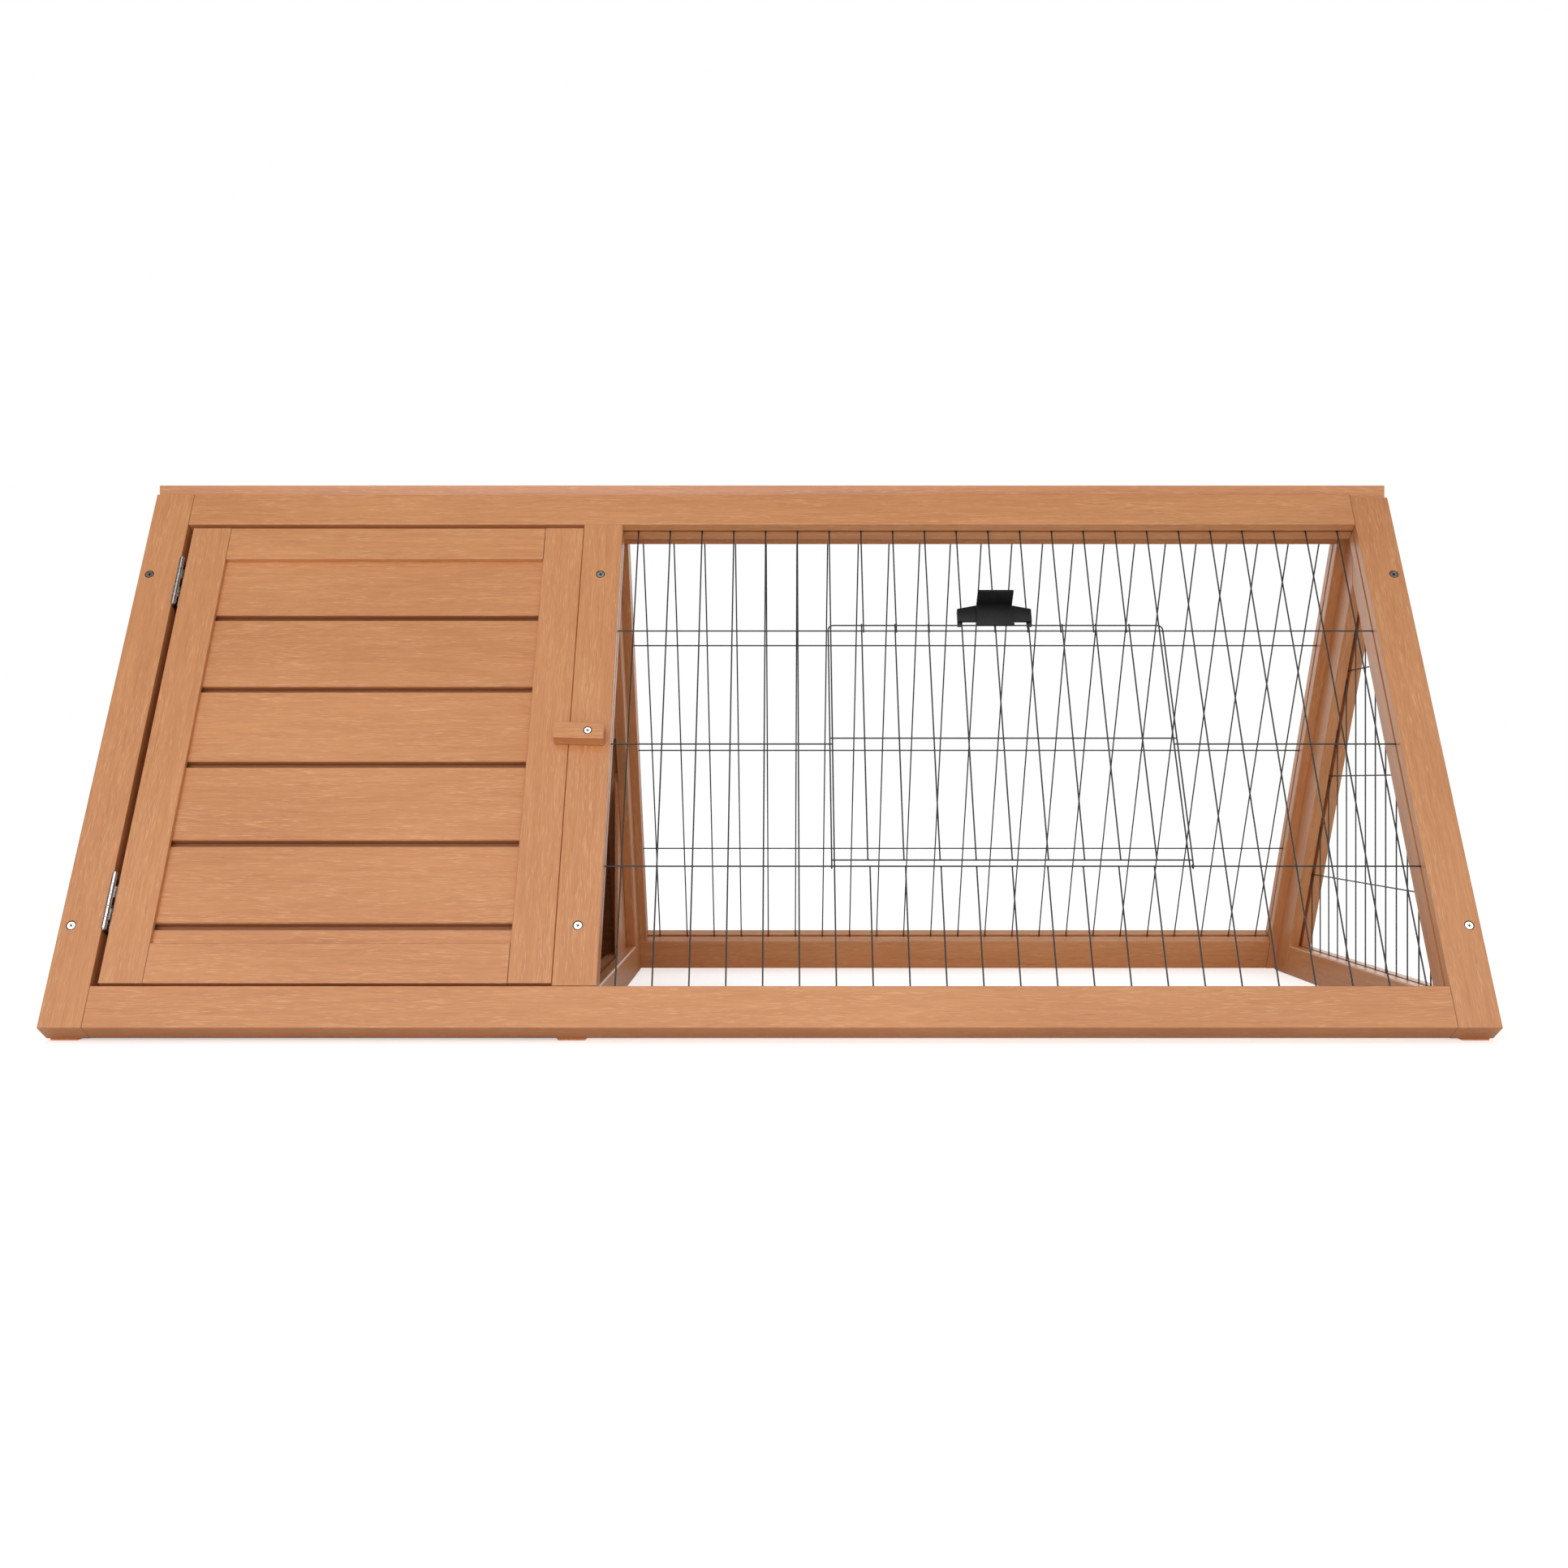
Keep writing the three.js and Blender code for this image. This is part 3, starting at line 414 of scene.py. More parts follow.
def absorb(shape, part, place=Matrix.Identity(4)):
    """Moves a part to its place and adds it to a shape. The part is used up."""
    bmesh.ops.transform(part, matrix=place, verts=part.verts)
    mesh = bpy.data.meshes.new("part")
    part.to_mesh(mesh)
    part.free()
    shape.from_mesh(mesh)
    bpy.data.meshes.remove(mesh)


def softened(part, width):
    """Rounds the sharp edges of a part."""
    sharp = [edge for edge in part.edges if edge.calc_face_angle(0) > SOFTEN_ABOVE]
    bmesh.ops.bevel(
        part, geom=sharp, offset=width, offset_type="OFFSET", segments=2,
        profile=0.5, affect="EDGES", clamp_overlap=True, material=-1,
    )
    return part


def prism(outline, low, high):
    """A solid whose outline lies in its first two directions, from low to high in the third."""
    part = bmesh.new()
    foot = part.faces.new([part.verts.new((a, b, low)) for a, b in outline])
    raised = bmesh.ops.extrude_face_region(part, geom=[foot])
    tops = [item for item in raised["geom"] if isinstance(item, bmesh.types.BMVert)]
    bmesh.ops.translate(part, vec=(0, 0, high - low), verts=tops)
    bmesh.ops.recalc_face_normals(part, faces=part.faces)
    return part


def box_part(x, y, z):
    return prism([(x[0], y[0]), (x[1], y[0]), (x[1], y[1]), (x[0], y[1])], z[0], z[1])


def turned(profile, segments=32, closed=False):
    """A round part from a profile of radius and height about its third direction."""
    part = bmesh.new()
    points = [part.verts.new((radius, 0, height)) for radius, height in profile]
    pairs = list(zip(points, points[1:]))
    if closed:
        pairs.append((points[-1], points[0]))
    edges = [part.edges.new(pair) for pair in pairs]
    bmesh.ops.spin(
        part, geom=points + edges, cent=(0, 0, 0), axis=(0, 0, 1), angle=2 * math.pi,
        steps=segments, use_merge=True,
    )
    bmesh.ops.remove_doubles(part, verts=part.verts, dist=SAME_POINT)
    bmesh.ops.recalc_face_normals(part, faces=part.faces)
    return part


# turns of a part into side directions: its first two directions become y and z, and its third x
SECTION_ALONG_X = Matrix(((0, 0, 1, 0), (1, 0, 0, 0), (0, 1, 0, 0), (0, 0, 0, 1)))
# its first two directions become z and x, and its third y
SECTION_UP_SLOPE = Matrix(((0, 1, 0, 0), (0, 0, 1, 0), (1, 0, 0, 0), (0, 0, 0, 1)))
# a round part's axis becomes y
ROUND_UP_SLOPE = Matrix.Rotation(-math.pi / 2, 4, "X")

# ---- Wires ----

WIRE_RADIUS = 0.7 * MM
WIRE_SIDES = 10
WELD_SINK = 0.35 * MM
WELD_STEP = 2 * WIRE_RADIUS - WELD_SINK  # between the planes of crossing wires
BEAD_RADIUS = 1.12 * WIRE_RADIUS

GRID_PITCH = 30.33 * MM
GRID_START = 14.1 * MM
ROW_PITCH = 121.9 * MM
GROOVE_SETBACK = 9.4 * MM  # front face of a side to its mesh groove
GROOVE_WIDTH = 3.8 * MM
# cross wires from the side's inner face; the grid lies in the middle of its groove
CROSS_WIRE_OUT = SIDE_THICKNESS - GROOVE_SETBACK - GROOVE_WIDTH / 2 + WELD_STEP / 2
WIRE_IN_GROOVE = 5.5 * MM
DOORWAY_WIRES = (6, 16)  # upright wires that bound the doorway
ROWS = [SIDE_HEIGHT / 2 + ROW_PITCH * step for step in (-1, 0, 1)]


def upright_x(index):
    return MID_STILE_EDGE + GRID_START + GRID_PITCH * index


UPRIGHT_COUNT = int((RIGHT_STILE_EDGE - upright_x(0)) / GRID_PITCH) + 1


def rod(shape, start, end):
    """A straight wire with closed ends."""
    start = Vector(start)
    run = Vector(end) - start
    turn = run.to_track_quat("Z", "Y").to_matrix().to_4x4()
    bmesh.ops.create_cone(
        shape, cap_ends=True, segments=WIRE_SIDES, radius1=WIRE_RADIUS, radius2=WIRE_RADIUS,
        depth=run.length, matrix=Matrix.Translation(start + run / 2) @ turn,
    )


def bead(shape, spot):
    """The small swelling where two wires are pressed and welded into each other."""
    bmesh.ops.create_icosphere(shape, subdivisions=1, radius=BEAD_RADIUS, matrix=Matrix.Translation(spot))


def wire_end(shape, spot, towards):
    """The end of a wire that is drawn on from it."""
    turn = Vector(towards).to_track_quat("Z", "Y").to_matrix().to_4x4()
    ring = bmesh.ops.create_circle(
        shape, cap_ends=True, segments=WIRE_SIDES, radius=WIRE_RADIUS, matrix=Matrix.Translation(spot) @ turn
    )
    return ring["verts"][0].link_faces[0]


def drawn_on(shape, end, run):
    """Draws a wire straight on from its end."""
    longer = bmesh.ops.extrude_face_region(shape, geom=[end])["geom"]
    points = [item for item in longer if isinstance(item, bmesh.types.BMVert)]
    bmesh.ops.translate(shape, vec=run, verts=points)
    return next(item for item in longer if isinstance(item, bmesh.types.BMFace))


def bent_on(shape, end, centre, axis, angle, steps):
    """Bends a wire on from its end, about an axis through a centre."""
    bent = bmesh.ops.spin(
        shape, geom=[end, *end.edges, *end.verts], cent=centre, axis=axis, angle=angle, steps=steps
    )
    return next(item for item in bent["geom_last"] if isinstance(item, bmesh.types.BMFace))


def side_grid(side, doorway):
    """The welded grid of one side."""
    place, direction = SIDES[side]
    shape = bmesh.new()
    behind = CROSS_WIRE_OUT - WELD_STEP
    between = CROSS_WIRE_OUT - WELD_STEP / 2
    low, high = BOTTOM_RAIL_TOP - WIRE_IN_GROOVE, TOP_RAIL_LOW + WIRE_IN_GROOVE
    first, last = DOORWAY_WIRES
    for index in range(UPRIGHT_COUNT):
        x = upright_x(index) * direction
        cut = doorway and first < index < last
        if cut:
            rod(shape, (x, low, behind), (x, ROWS[0] + WIRE_RADIUS, behind))
            rod(shape, (x, ROWS[2] - WIRE_RADIUS, behind), (x, high, behind))
        else:
            rod(shape, (x, low, behind), (x, high, behind))
        for row, y in enumerate(ROWS):
            if not (cut and row == 1):
                bead(shape, (x, y, between))
    left, right = MID_STILE_EDGE - WIRE_IN_GROOVE, RIGHT_STILE_EDGE + WIRE_IN_GROOVE
    for row, y in enumerate(ROWS):
        spans = [(left, right)]
        if doorway and row == 1:
            spans = [(left, upright_x(first) + WIRE_RADIUS), (upright_x(last) - WIRE_RADIUS, right)]
        for start, end in spans:
            rod(shape, (start * direction, y, CROSS_WIRE_OUT), (end * direction, y, CROSS_WIRE_OUT))
    bmesh.ops.transform(shape, matrix=place, verts=shape.verts)
    piece(f"{side}_wires", shape, WIRE, f"{side}_mesh")


END_PITCH = 28.8 * MM
END_ROW_PITCH = 104.6 * MM
LEG_WIDTH = 36 * MM
FOOT_RAIL_TOP = 32 * MM
LEG_GAP = 0.3 * MM


def end_grid():
    """The welded grid of the right end, in the grooves of its triangular frame."""
    shape = bmesh.new()
    ridge = SIDE_LIFT + SIDE_HEIGHT * math.sin(SLOPE)
    apex = ridge - (LEG_GAP + LEG_WIDTH) / math.cos(SLOPE)
    middle = (apex + FOOT_RAIL_TOP) / 2
    rows = [middle + END_ROW_PITCH * step for step in (-1, 0, 1)]
    centre = sum(ends("right_mesh")) / 2
    x_upright, x_cross = centre + WELD_STEP / 2, centre - WELD_STEP / 2

    def half_width(z):
        return (apex - z) / math.tan(SLOPE)

    reach = (WIRE_IN_GROOVE / math.cos(SLOPE) - WIRE_RADIUS) / math.tan(SLOPE)
    count = int((half_width(rows[0]) + reach) / END_PITCH)
    for index in range(-count, count + 1):
        y = END_PITCH * index
        top = apex - abs(y) * math.tan(SLOPE) + WIRE_IN_GROOVE / math.cos(SLOPE)
        rod(shape, (x_upright, y, FOOT_RAIL_TOP - WIRE_IN_GROOVE), (x_upright, y, top))
        for z in rows:
            if z < top:
                bead(shape, (centre, y, z))
    for z in rows:
        half = half_width(z) + WIRE_IN_GROOVE / math.sin(SLOPE)
        rod(shape, (x_cross, -half, z), (x_cross, half, z))
    piece("right_end_wires", shape, WIRE, "right_mesh")


HOOK_CLEARANCE = 0.35 * MM
HOOK_WRAP = math.radians(250)
DOOR_OVERLAP = 2.4 * MM
DOOR_LIFT = 5 * MM
DOOR_CORNER = 5 * MM
HOOK_STEPS = 16
CORNER_STEPS = 8


def wire_door():
    """The fold-down door: one bent outer wire hooked round the mesh, and the wires across it."""
    shape = bmesh.new()
    hook_radius = 2 * WIRE_RADIUS + HOOK_CLEARANCE
    out = CROSS_WIRE_OUT + hook_radius
    left = upright_x(DOORWAY_WIRES[0]) - DOOR_OVERLAP
    right = upright_x(DOORWAY_WIRES[1]) + DOOR_OVERLAP
    rows = [row + DOOR_LIFT for row in ROWS]
    top = rows[2]

    # the outer wire, from its left hook over the top to its right hook
    last = math.pi / 2 + HOOK_WRAP
    spot = (left, ROWS[0] + hook_radius * math.cos(last), CROSS_WIRE_OUT + hook_radius * math.sin(last))
    rise = (0, top - DOOR_CORNER - ROWS[0], 0)
    corners = [(x, top - DOOR_CORNER, out) for x in (left + DOOR_CORNER, right - DOOR_CORNER)]
    quarter = -math.pi / 2
    end = wire_end(shape, spot, (0, math.sin(last), -math.cos(last)))
    end = bent_on(shape, end, (left, ROWS[0], CROSS_WIRE_OUT), (1, 0, 0), -HOOK_WRAP, HOOK_STEPS)
    end = drawn_on(shape, end, rise)
    end = bent_on(shape, end, corners[0], (0, 0, 1), quarter, CORNER_STEPS)
    end = drawn_on(shape, end, (right - left - 2 * DOOR_CORNER, 0, 0))
    end = bent_on(shape, end, corners[1], (0, 0, 1), quarter, CORNER_STEPS)
    end = drawn_on(shape, end, -Vector(rise))
    bent_on(shape, end, (right, ROWS[0], CROSS_WIRE_OUT), (1, 0, 0), HOOK_WRAP, HOOK_STEPS)

    for y in rows[:2]:
        rod(shape, (left, y, out), (right, y, out))
    spaces = DOORWAY_WIRES[1] - DOORWAY_WIRES[0]
    for step in range(1, spaces):
        x = left + (right - left) * step / spaces
        rod(shape, (x, rows[0] - WIRE_RADIUS, out + WELD_STEP), (x, top + WIRE_RADIUS, out + WELD_STEP))
        for y in rows:
            bead(shape, (x, y, out + WELD_STEP / 2))
    bmesh.ops.transform(shape, matrix=FRONT, verts=shape.verts)
    piece("wire_door_wires", shape, WIRE, "wire_door", body="wire_door")


# ---- Latch of the wire door ----

LATCH = {
    "plate": 2.5 * MM, "height": 18 * MM, "shoulder": 4 * MM, "margin": 4 * MM, "clear": 0.3 * MM,
    "tab_width": 33 * MM, "tab_length": 18.4 * MM, "tab_thickness": 2.2 * MM,
    "lip_width": 35 * MM, "lip": 2 * MM, "lip_drop": 2.2 * MM, "above_wire": 4.4 * MM,
    "grip": 1.5 * MM, "root": 0.5 * MM, "grip_drop": 2.6 * MM,
}
LATCH_TAB_RISE = math.radians(11)
LATCH_EDGE = 0.35 * MM


def latch():
    """The moulded slide: a plate with a thumb tab, a lip over the door's top wire and two grips."""
    size = LATCH
    middle = sum(DOORWAY_WIRES) // 2
    centre = upright_x(middle)
    half = GRID_PITCH + size["margin"]
    upright = CROSS_WIRE_OUT - WELD_STEP
    back = upright + WIRE_RADIUS + size["clear"]
    door_out = CROSS_WIRE_OUT + 2 * WIRE_RADIUS + HOOK_CLEARANCE
    door_top = ROWS[2] + DOOR_LIFT
    bottom = door_top + size["above_wire"]
    top = bottom + size["height"]
    lip_back = door_out + WELD_STEP + WIRE_RADIUS + size["clear"]
    seat = door_top + WIRE_RADIUS + size["clear"]
    lip_low = door_top - size["lip_drop"]
    half_tab = size["tab_width"] / 2

    shape = bmesh.new()
    plate = prism(
        [
            (-half, bottom), (half, bottom), (half, top - size["shoulder"]), (half_tab, top),
            (-half_tab, top), (-half, top - size["shoulder"]),
        ],
        back, back + size["plate"],
    )
    absorb(shape, softened(plate, LATCH_EDGE))

    # the body widens from the tab down to the lip
    body = prism(
        [
            (seat, back), (top, back), (top, lip_back + size["lip"]),
            (lip_low, lip_back + size["lip"]), (lip_low, lip_back), (seat, lip_back),
        ],
        -size["lip_width"] / 2, size["lip_width"] / 2,
    )
    for vertex in body.verts:
        share = (vertex.co.x - lip_low) / (top - lip_low)
        vertex.co.z *= 1 - share * (1 - size["tab_width"] / size["lip_width"])
    absorb(shape, softened(body, LATCH_EDGE), SECTION_ALONG_X)

    tab = box_part(
        (-half_tab, half_tab), (-size["tab_thickness"], 0), (-size["tab_thickness"], size["tab_length"])
    )
    tilt = Matrix.Translation((0, top, lip_back)) @ Matrix.Rotation(-LATCH_TAB_RISE, 4, "X")
    absorb(shape, softened(tab, LATCH_EDGE), tilt)

    behind = upright - WIRE_RADIUS - size["clear"]
    for out in (-1, 1):
        wire = out * GRID_PITCH
        wall = wire + out * (WIRE_RADIUS + size["clear"])
        hooked = wire - out * WIRE_RADIUS
        outline = [
            (out * half, back + size["root"]), (wall, back + size["root"]), (wall, behind),
            (hooked, behind), (hooked, behind - size["grip"]), (out * half, behind - size["grip"]),
        ]
        grip = prism([(z, x) for x, z in outline], bottom - size["grip_drop"], top - size["shoulder"])
        absorb(shape, softened(grip, LATCH_EDGE / 2), SECTION_UP_SLOPE)
    bmesh.ops.transform(shape, matrix=FRONT @ Matrix.Translation((centre, 0, 0)), verts=shape.verts)
    piece("latch_slide_moulding", shape, PLASTIC, "wire_door_latch", body="latch")


# ---- Screws ----

FRAME_SCREW = {"length": 45 * MM, "shank": 2 * MM, "head": 3.95 * MM, "sunk": 0.5 * MM, "cross": 4.4 * MM}
BUTTON_SCREW = {"length": 30 * MM, "shank": 1.8 * MM, "head": 3.6 * MM, "sunk": 0.3 * MM, "cross": 4 * MM}
SCREW_POINT = 1.5  # length of the point, in shank radii
HEAD_RIM = 0.6 * MM  # straight edge of the head above its cone
HEAD_EDGE = 0.25 * MM
# width of the head's rim that gets painted shade, for the shadow of the countersink gap
PAINTED_SHADE_RIM = 0.6 * MM
RIM_FADE = 0.1 * MM
CROSS_WIDTH = 1.0 * MM
CROSS_DEPTH = 1.4 * MM
LONG_TAPER = 0.55  # an arm's length at its bottom, as a share of that at its top
WIDE_TAPER = 0.8  # and its width


def cross_cutter(screw):
    """The tapered cross that is cut into a screw's head."""
    cutter = bmesh.new()
    long = (screw["cross"] / 2, LONG_TAPER)
    wide = (CROSS_WIDTH / 2, WIDE_TAPER)
    for (x, x_taper), (y, y_taper) in ((long, wide), (wide, long)):
        arm = box_part((-x, x), (-y, y), (-CROSS_DEPTH, CROSS_DEPTH))
        bottom = [vertex for vertex in arm.verts if vertex.co.z < 0]
        bmesh.ops.scale(arm, vec=(x_taper, y_taper, 1), verts=bottom)
        absorb(cutter, arm)
    return cutter


def bare_object(name, shape):
    mesh = bpy.data.meshes.new(name)
    shape.to_mesh(mesh)
    shape.free()
    made = bpy.data.objects.new(name, mesh)
    bpy.context.scene.collection.objects.link(made)
    return made


def screw_mesh(name, screw):
    """A countersunk screw standing on its point, its head's top at 0, with a cross recess."""
    long, shank, head = screw["length"], screw["shank"], screw["head"]
    body = turned(
        [
            (0, -long), (shank, SCREW_POINT * shank - long), (shank, shank - head - HEAD_RIM),
            (head, -HEAD_RIM),
            (head, -HEAD_EDGE), (head - HEAD_EDGE, 0), (head - PAINTED_SHADE_RIM, 0), (head - PAINTED_SHADE_RIM - RIM_FADE, 0),
            (0, 0),
        ],
        segments=40,
    )
    plain = bare_object(name, body)
    cutter = bare_object(f"{name}_cutter", cross_cutter(screw))
    cut = plain.modifiers.new("recess", "BOOLEAN")
    cut.operation = "DIFFERENCE"
    cut.object = cutter
    cut.solver = "EXACT"
    cut.use_self = True
    bpy.context.view_layer.update()
    made = bpy.data.meshes.new_from_object(plain.evaluated_get(bpy.context.evaluated_depsgraph_get()))
    for spare in (plain, cutter):
        bpy.data.objects.remove(spare)
    # only the flat of the head is left bright; its rim, its recess and the shank get painted shade
    painted_shade = made.attributes.new("painted_shade", "FLOAT", "POINT")
    for vertex in made.vertices:
        outer = math.hypot(vertex.co.x, vertex.co.y) > head - PAINTED_SHADE_RIM - RIM_FADE / 2
        painted_shade.data[vertex.index].value = float(outer or vertex.co.z < -RIM_FADE)
    return made


END_SCREW_INSET = 9.5 * MM
SCREW_HEIGHTS = {"lower": 91 * MM, "upper": SIDE_HEIGHT - 94.5 * MM}
SCREW_PLACES = {
    "left": LEFT_END + END_SCREW_INSET,
    "mid": MID_STILE_CENTRE,
    "right": -LEFT_END - END_SCREW_INSET,
}
SCREW_TURN = 0.9  # radians that each screw is driven on from the last


def seated_screw(node, screw, seat):
    """Sets a screw into its seat, in place of its node."""
    shape = bmesh.new()
    shape.from_mesh(screw)
    bmesh.ops.transform(shape, matrix=seat, verts=shape.verts)
    piece(f"{node}_turned", shape, ZINC_SCREW, node)


def frame_screws():
    screw = screw_mesh("frame_screw", FRAME_SCREW)
    out = SIDE_THICKNESS - FRAME_SCREW["sunk"]
    spots = itertools.product(SIDES, SCREW_PLACES, SCREW_HEIGHTS)
    for index, (side, place, level) in enumerate(spots, start=1):
        placing, direction = SIDES[side]
        spot = (SCREW_PLACES[place] * direction, SCREW_HEIGHTS[level], out)
        turn = Matrix.Rotation(SCREW_TURN * index, 4, "Z")
        seated_screw(f"{side}_{place}_{level}_screw", screw, placing @ Matrix.Translation(spot) @ turn)


BUTTON_PIVOT_OFFSET = -0.75 * MM  # from the middle of the middle stile
BUTTON_GAP = 0.4 * MM
BUTTON_THICKNESS = 12.5 * MM


def button_screw():
    screw = screw_mesh("button_screw", BUTTON_SCREW)
    out = SIDE_THICKNESS + BUTTON_GAP + BUTTON_THICKNESS - BUTTON_SCREW["sunk"]
    spot = (MID_STILE_CENTRE + BUTTON_PIVOT_OFFSET, SIDE_HEIGHT / 2, out)
    seated_screw("turn_button_screw", screw, FRONT @ Matrix.Translation(spot))


# ---- Hinges ----

HINGE_LENGTH = 52 * MM
HINGE_CENTRES = {"lower": 112.5 * MM, "upper": SIDE_HEIGHT - 103.5 * MM}
KNUCKLES = 5
KNUCKLE_GAP = 0.15 * MM
BARREL_RADIUS = 2.3 * MM
BARREL_PROUD = 1.9 * MM
BARREL_SETBACK = 2.25 * MM
PIN_RADIUS = 1.05 * MM
PIN_CLEARANCE = 0.1 * MM
PIN_HEAD = (1.9 * MM, 1.0 * MM)  # radius and height
KNUCKLE_EDGE = 0.25 * MM
LEAF = 1.2 * MM  # thickness
LEAF_EDGE = 0.2 * MM
LEAF_DEPTH = 18 * MM
WEB_SUNK = 1.8 * MM  # webs of the door leaf, below the side's outer face
LEAF_SCREW = (2.3 * MM, 0.35 * MM)  # radius and height of the head
LEAF_SCREW_SHARES = (0.2, 0.5, 0.8)  # places along the leaf
LEAF_SCREW_DEPTH = 0.55  # place in the leaf's depth, as a share
PIN_X = LEFT_STILE_EDGE + BARREL_SETBACK
PIN_OUT = SIDE_THICKNESS + BARREL_PROUD


def leaf_screws(shape, face, facing, start):
    """Small raised heads on a leaf's face; facing is 1 where the face looks along x."""
    radius, proud = LEAF_SCREW
    out = SIDE_THICKNESS - LEAF_DEPTH * LEAF_SCREW_DEPTH
    for share in LEAF_SCREW_SHARES:
        head = turned([(0, 0), (radius, 0), (radius, proud * 0.4), (radius * 0.7, proud), (0, proud)], 20)
        spot = Matrix.Translation((face, start + HINGE_LENGTH * share, out))
        absorb(shape, head, spot @ Matrix.Rotation(facing * math.pi / 2, 4, "Y"))


def knuckle(low, high):
    """One rolled eye of the barrel, standing on the pin's line."""
    bore, rim, ease = PIN_RADIUS + PIN_CLEARANCE, BARREL_RADIUS, KNUCKLE_EDGE
    ring = [(bore, low), (rim - ease, low), (rim, low + ease)]
    ring += [(rim, high - ease), (rim - ease, high), (bore, high)]
    return turned(ring, segments=36, closed=True)


def hinge(level):
    start = HINGE_CENTRES[level] - HINGE_LENGTH / 2
    pitch = (HINGE_LENGTH + KNUCKLE_GAP) / KNUCKLES
    axis = Matrix.Translation((PIN_X, 0, PIN_OUT)) @ ROUND_UP_SLOPE
    long = (start, start + HINGE_LENGTH)
    leaf_low = SIDE_THICKNESS - LEAF_DEPTH
    bore = PIN_RADIUS + PIN_CLEARANCE

    frame_leaf, door_leaf = bmesh.new(), bmesh.new()
    frame_face = (LEFT_STILE_EDGE, LEFT_STILE_EDGE + LEAF)
    door_face = (DOOR_EDGE - LEAF, DOOR_EDGE)
    frame_top = PIN_OUT - BARREL_RADIUS - PIN_CLEARANCE
    web = (SIDE_THICKNESS - WEB_SUNK - LEAF, SIDE_THICKNESS - WEB_SUNK)
    absorb(frame_leaf, softened(box_part(frame_face, long, (leaf_low, frame_top)), LEAF_EDGE))
    absorb(door_leaf, softened(box_part(door_face, long, (leaf_low, web[1])), LEAF_EDGE))
    for index in range(KNUCKLES):
        span = (start + pitch * index, start + pitch * (index + 1) - KNUCKLE_GAP)
        if index % 2 == 0:
            absorb(frame_leaf, knuckle(*span), axis)
            absorb(frame_leaf, box_part(frame_face, span, (frame_top - LEAF, PIN_OUT)))
        else:
            absorb(door_leaf, knuckle(*span), axis)
            absorb(door_leaf, box_part((PIN_X, PIN_X + LEAF), span, (web[0], PIN_OUT - bore)))
            absorb(door_leaf, box_part((PIN_X, DOOR_EDGE), span, web))
    leaf_screws(frame_leaf, frame_face[1], 1, start)
    leaf_screws(door_leaf, door_face[0], -1, start)

    head, tall = PIN_HEAD
    low, high = long[0] - KNUCKLE_GAP, long[1] + KNUCKLE_GAP
    pin_profile = [
        (0, low - tall), (head * 0.6, low - tall * 0.9), (head, low - tall * 0.5), (head, low),
        (PIN_RADIUS, low), (PIN_RADIUS, high), (head, high), (head, high + tall * 0.5),
        (head * 0.6, high + tall * 0.9), (0, high + tall),
    ]
    pin = bmesh.new()
    absorb(pin, turned(pin_profile, 28), axis)
    for shape, part, body in (
        (frame_leaf, "frame_leaf", "root"), (door_leaf, "door_leaf", "wood_door"), (pin, "pin", "root"),
    ):
        bmesh.ops.transform(shape, matrix=FRONT, verts=shape.verts)
        node = f"{level}_hinge_{part}"
        piece(f"{node}_plated", shape, ZINC_SHEET, node, body=body)


# ---- The object ----

METAL_OR_PLASTIC = ("_screw", "_mesh", "_leaf", "_pin", "wire_door", "latch")

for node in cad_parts:
    if not node.endswith(METAL_OR_PLASTIC):
        dress(node, wood_of(node))
side_grid("front", doorway=True)
side_grid("rear", doorway=False)
end_grid()
wire_door()
latch()
frame_screws()
button_screw()
for level in HINGE_CENTRES:
    hinge(level)


# ---- Floor, light and camera ----

FLOOR_SIZE = 40
FLOOR_LIFT = 0.55  # glow that only the camera sees


def floor():
    bpy.ops.mesh.primitive_plane_add(size=FLOOR_SIZE)
    ground = bpy.context.object
    ground.name = "floor"
    material = bpy.data.materials.new("pale_floor")
    look = Finish(material)
    seen = look.node("ShaderNodeLightPath", out="Is Camera Ray")
    surface = look.node("ShaderNodeBsdfDiffuse", {"Color": (0.9, 0.9, 0.9, 1)}, out="BSDF")
    glow = {"Color": (1, 1, 1, 1), "Strength": seen * FLOOR_LIFT}
    lift = look.node("ShaderNodeEmission", glow, out="Emission")
    look.close("ShaderNodeOutputMaterial", look.node("ShaderNodeAddShader", {0: surface, 1: lift}))
    ground.data.materials.append(material)


AMBIENT_ROUND = 0.24
AMBIENT_FACING = 0.69  # more from the front and the rear than from the ends
AMBIENT_ABOVE = 0.26
SCREEN_STOPS = ((0.4, 0.04), (0.46, 0.75), (0.54, 1.0), (0.8, 1.0), (0.95, 0.45))
SCREEN_LEVEL = 2.4


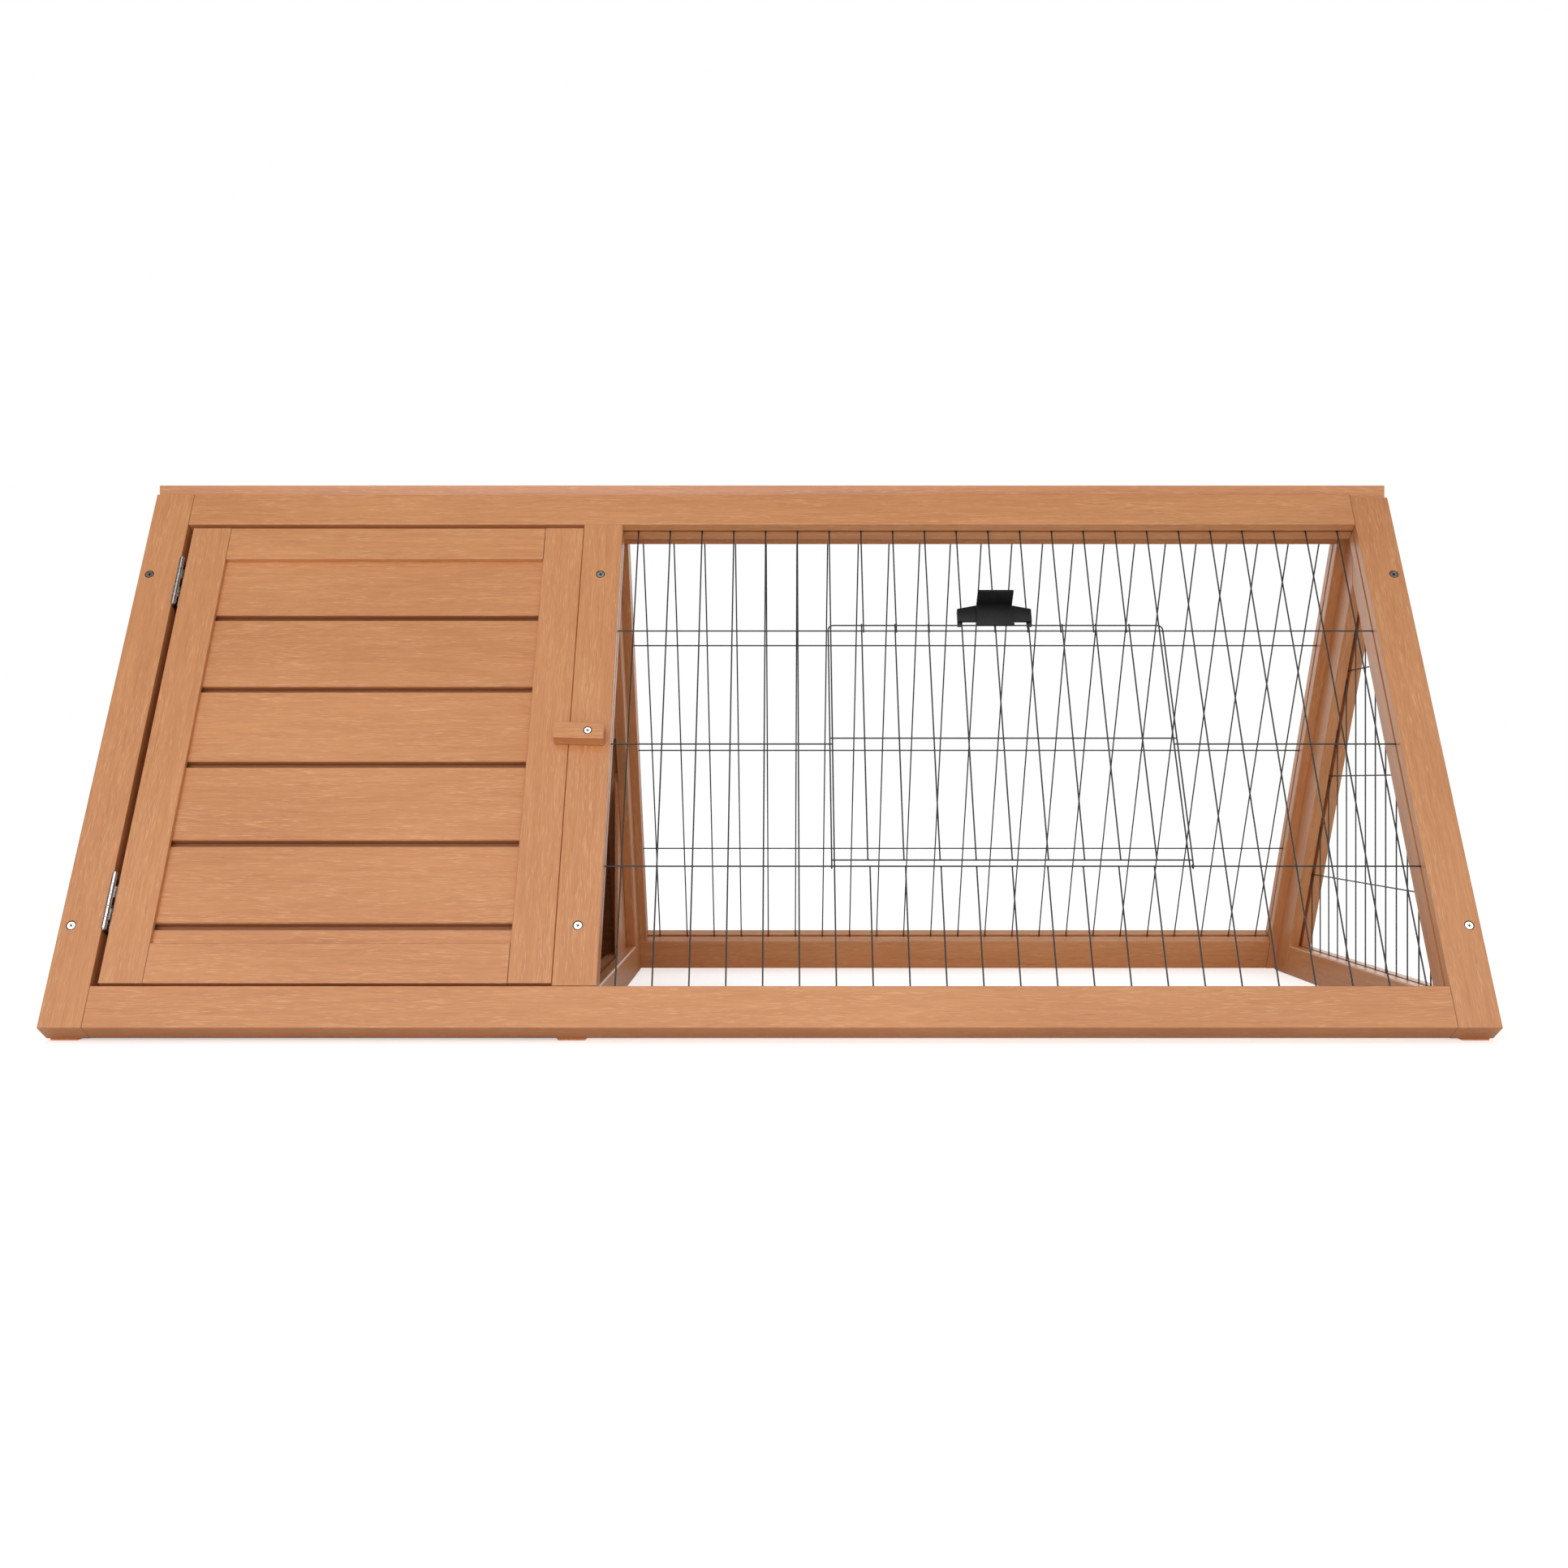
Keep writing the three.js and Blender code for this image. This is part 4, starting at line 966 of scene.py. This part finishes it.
def sky():
    """Soft white light; the camera, gloss and glass see the white backdrop itself."""
    world = bpy.data.worlds.new("studio")
    bpy.context.scene.world = world
    look = Finish(world)
    camera_ray = look.node("ShaderNodeLightPath", out="Is Camera Ray")
    glossy = look.node("ShaderNodeLightPath", out="Is Glossy Ray")
    clear = look.node("ShaderNodeLightPath", out="Is Transmission Ray")
    seen = camera_ray.math("MAXIMUM", clear)
    towards = look.node("ShaderNodeTexCoord", out="Generated")
    depth = look.node("ShaderNodeSeparateXYZ", {"Vector": towards}, out="Y")
    height = look.node("ShaderNodeSeparateXYZ", {"Vector": towards}, out="Z")
    ambient = AMBIENT_ROUND + depth * depth * AMBIENT_FACING + height.math("MAXIMUM", 0.0) * AMBIENT_ABOVE
    # gloss sees white screens before and behind the run, and the darker studio above and beside it
    screens = look.ramp(depth.math("ABSOLUTE"), *SCREEN_STOPS) * SCREEN_LEVEL
    level = seen + (1 - seen) * (glossy * screens + (1 - glossy) * ambient)
    back = look.node("ShaderNodeBackground", {"Color": (1, 1, 1, 1), "Strength": level})
    look.close("ShaderNodeOutputWorld", back)


def lamp(name, place, aim, size, watts):
    data = bpy.data.lights.new(name, "AREA")
    data.size = size
    data.energy = watts
    made = bpy.data.objects.new(name, data)
    made.location = place
    made.rotation_mode = "QUATERNION"
    made.rotation_quaternion = (Vector(aim) - Vector(place)).to_track_quat("-Z", "Y")
    bpy.context.scene.collection.objects.link(made)


PHOTO_SIDE = 1932
FOCAL_PIXELS = 2170
CAMERA_PLACE = (11.5 * MM, -1710 * MM, 209 * MM)
SENSOR_WIDTH = 36


def camera():
    data = bpy.data.cameras.new("camera")
    data.sensor_width = SENSOR_WIDTH
    data.lens = SENSOR_WIDTH * FOCAL_PIXELS / PHOTO_SIDE
    made = bpy.data.objects.new("camera", data)
    made.location = CAMERA_PLACE
    made.rotation_euler = (math.pi / 2, 0, 0)
    bpy.context.scene.collection.objects.link(made)
    bpy.context.scene.camera = made


floor()
sky()
lamp("key", place=(-0.4, -2.2, 0.75), aim=(0, 0, 0.2), size=1.3, watts=14)
camera()
bpy.context.scene.view_settings.view_transform = "Standard"
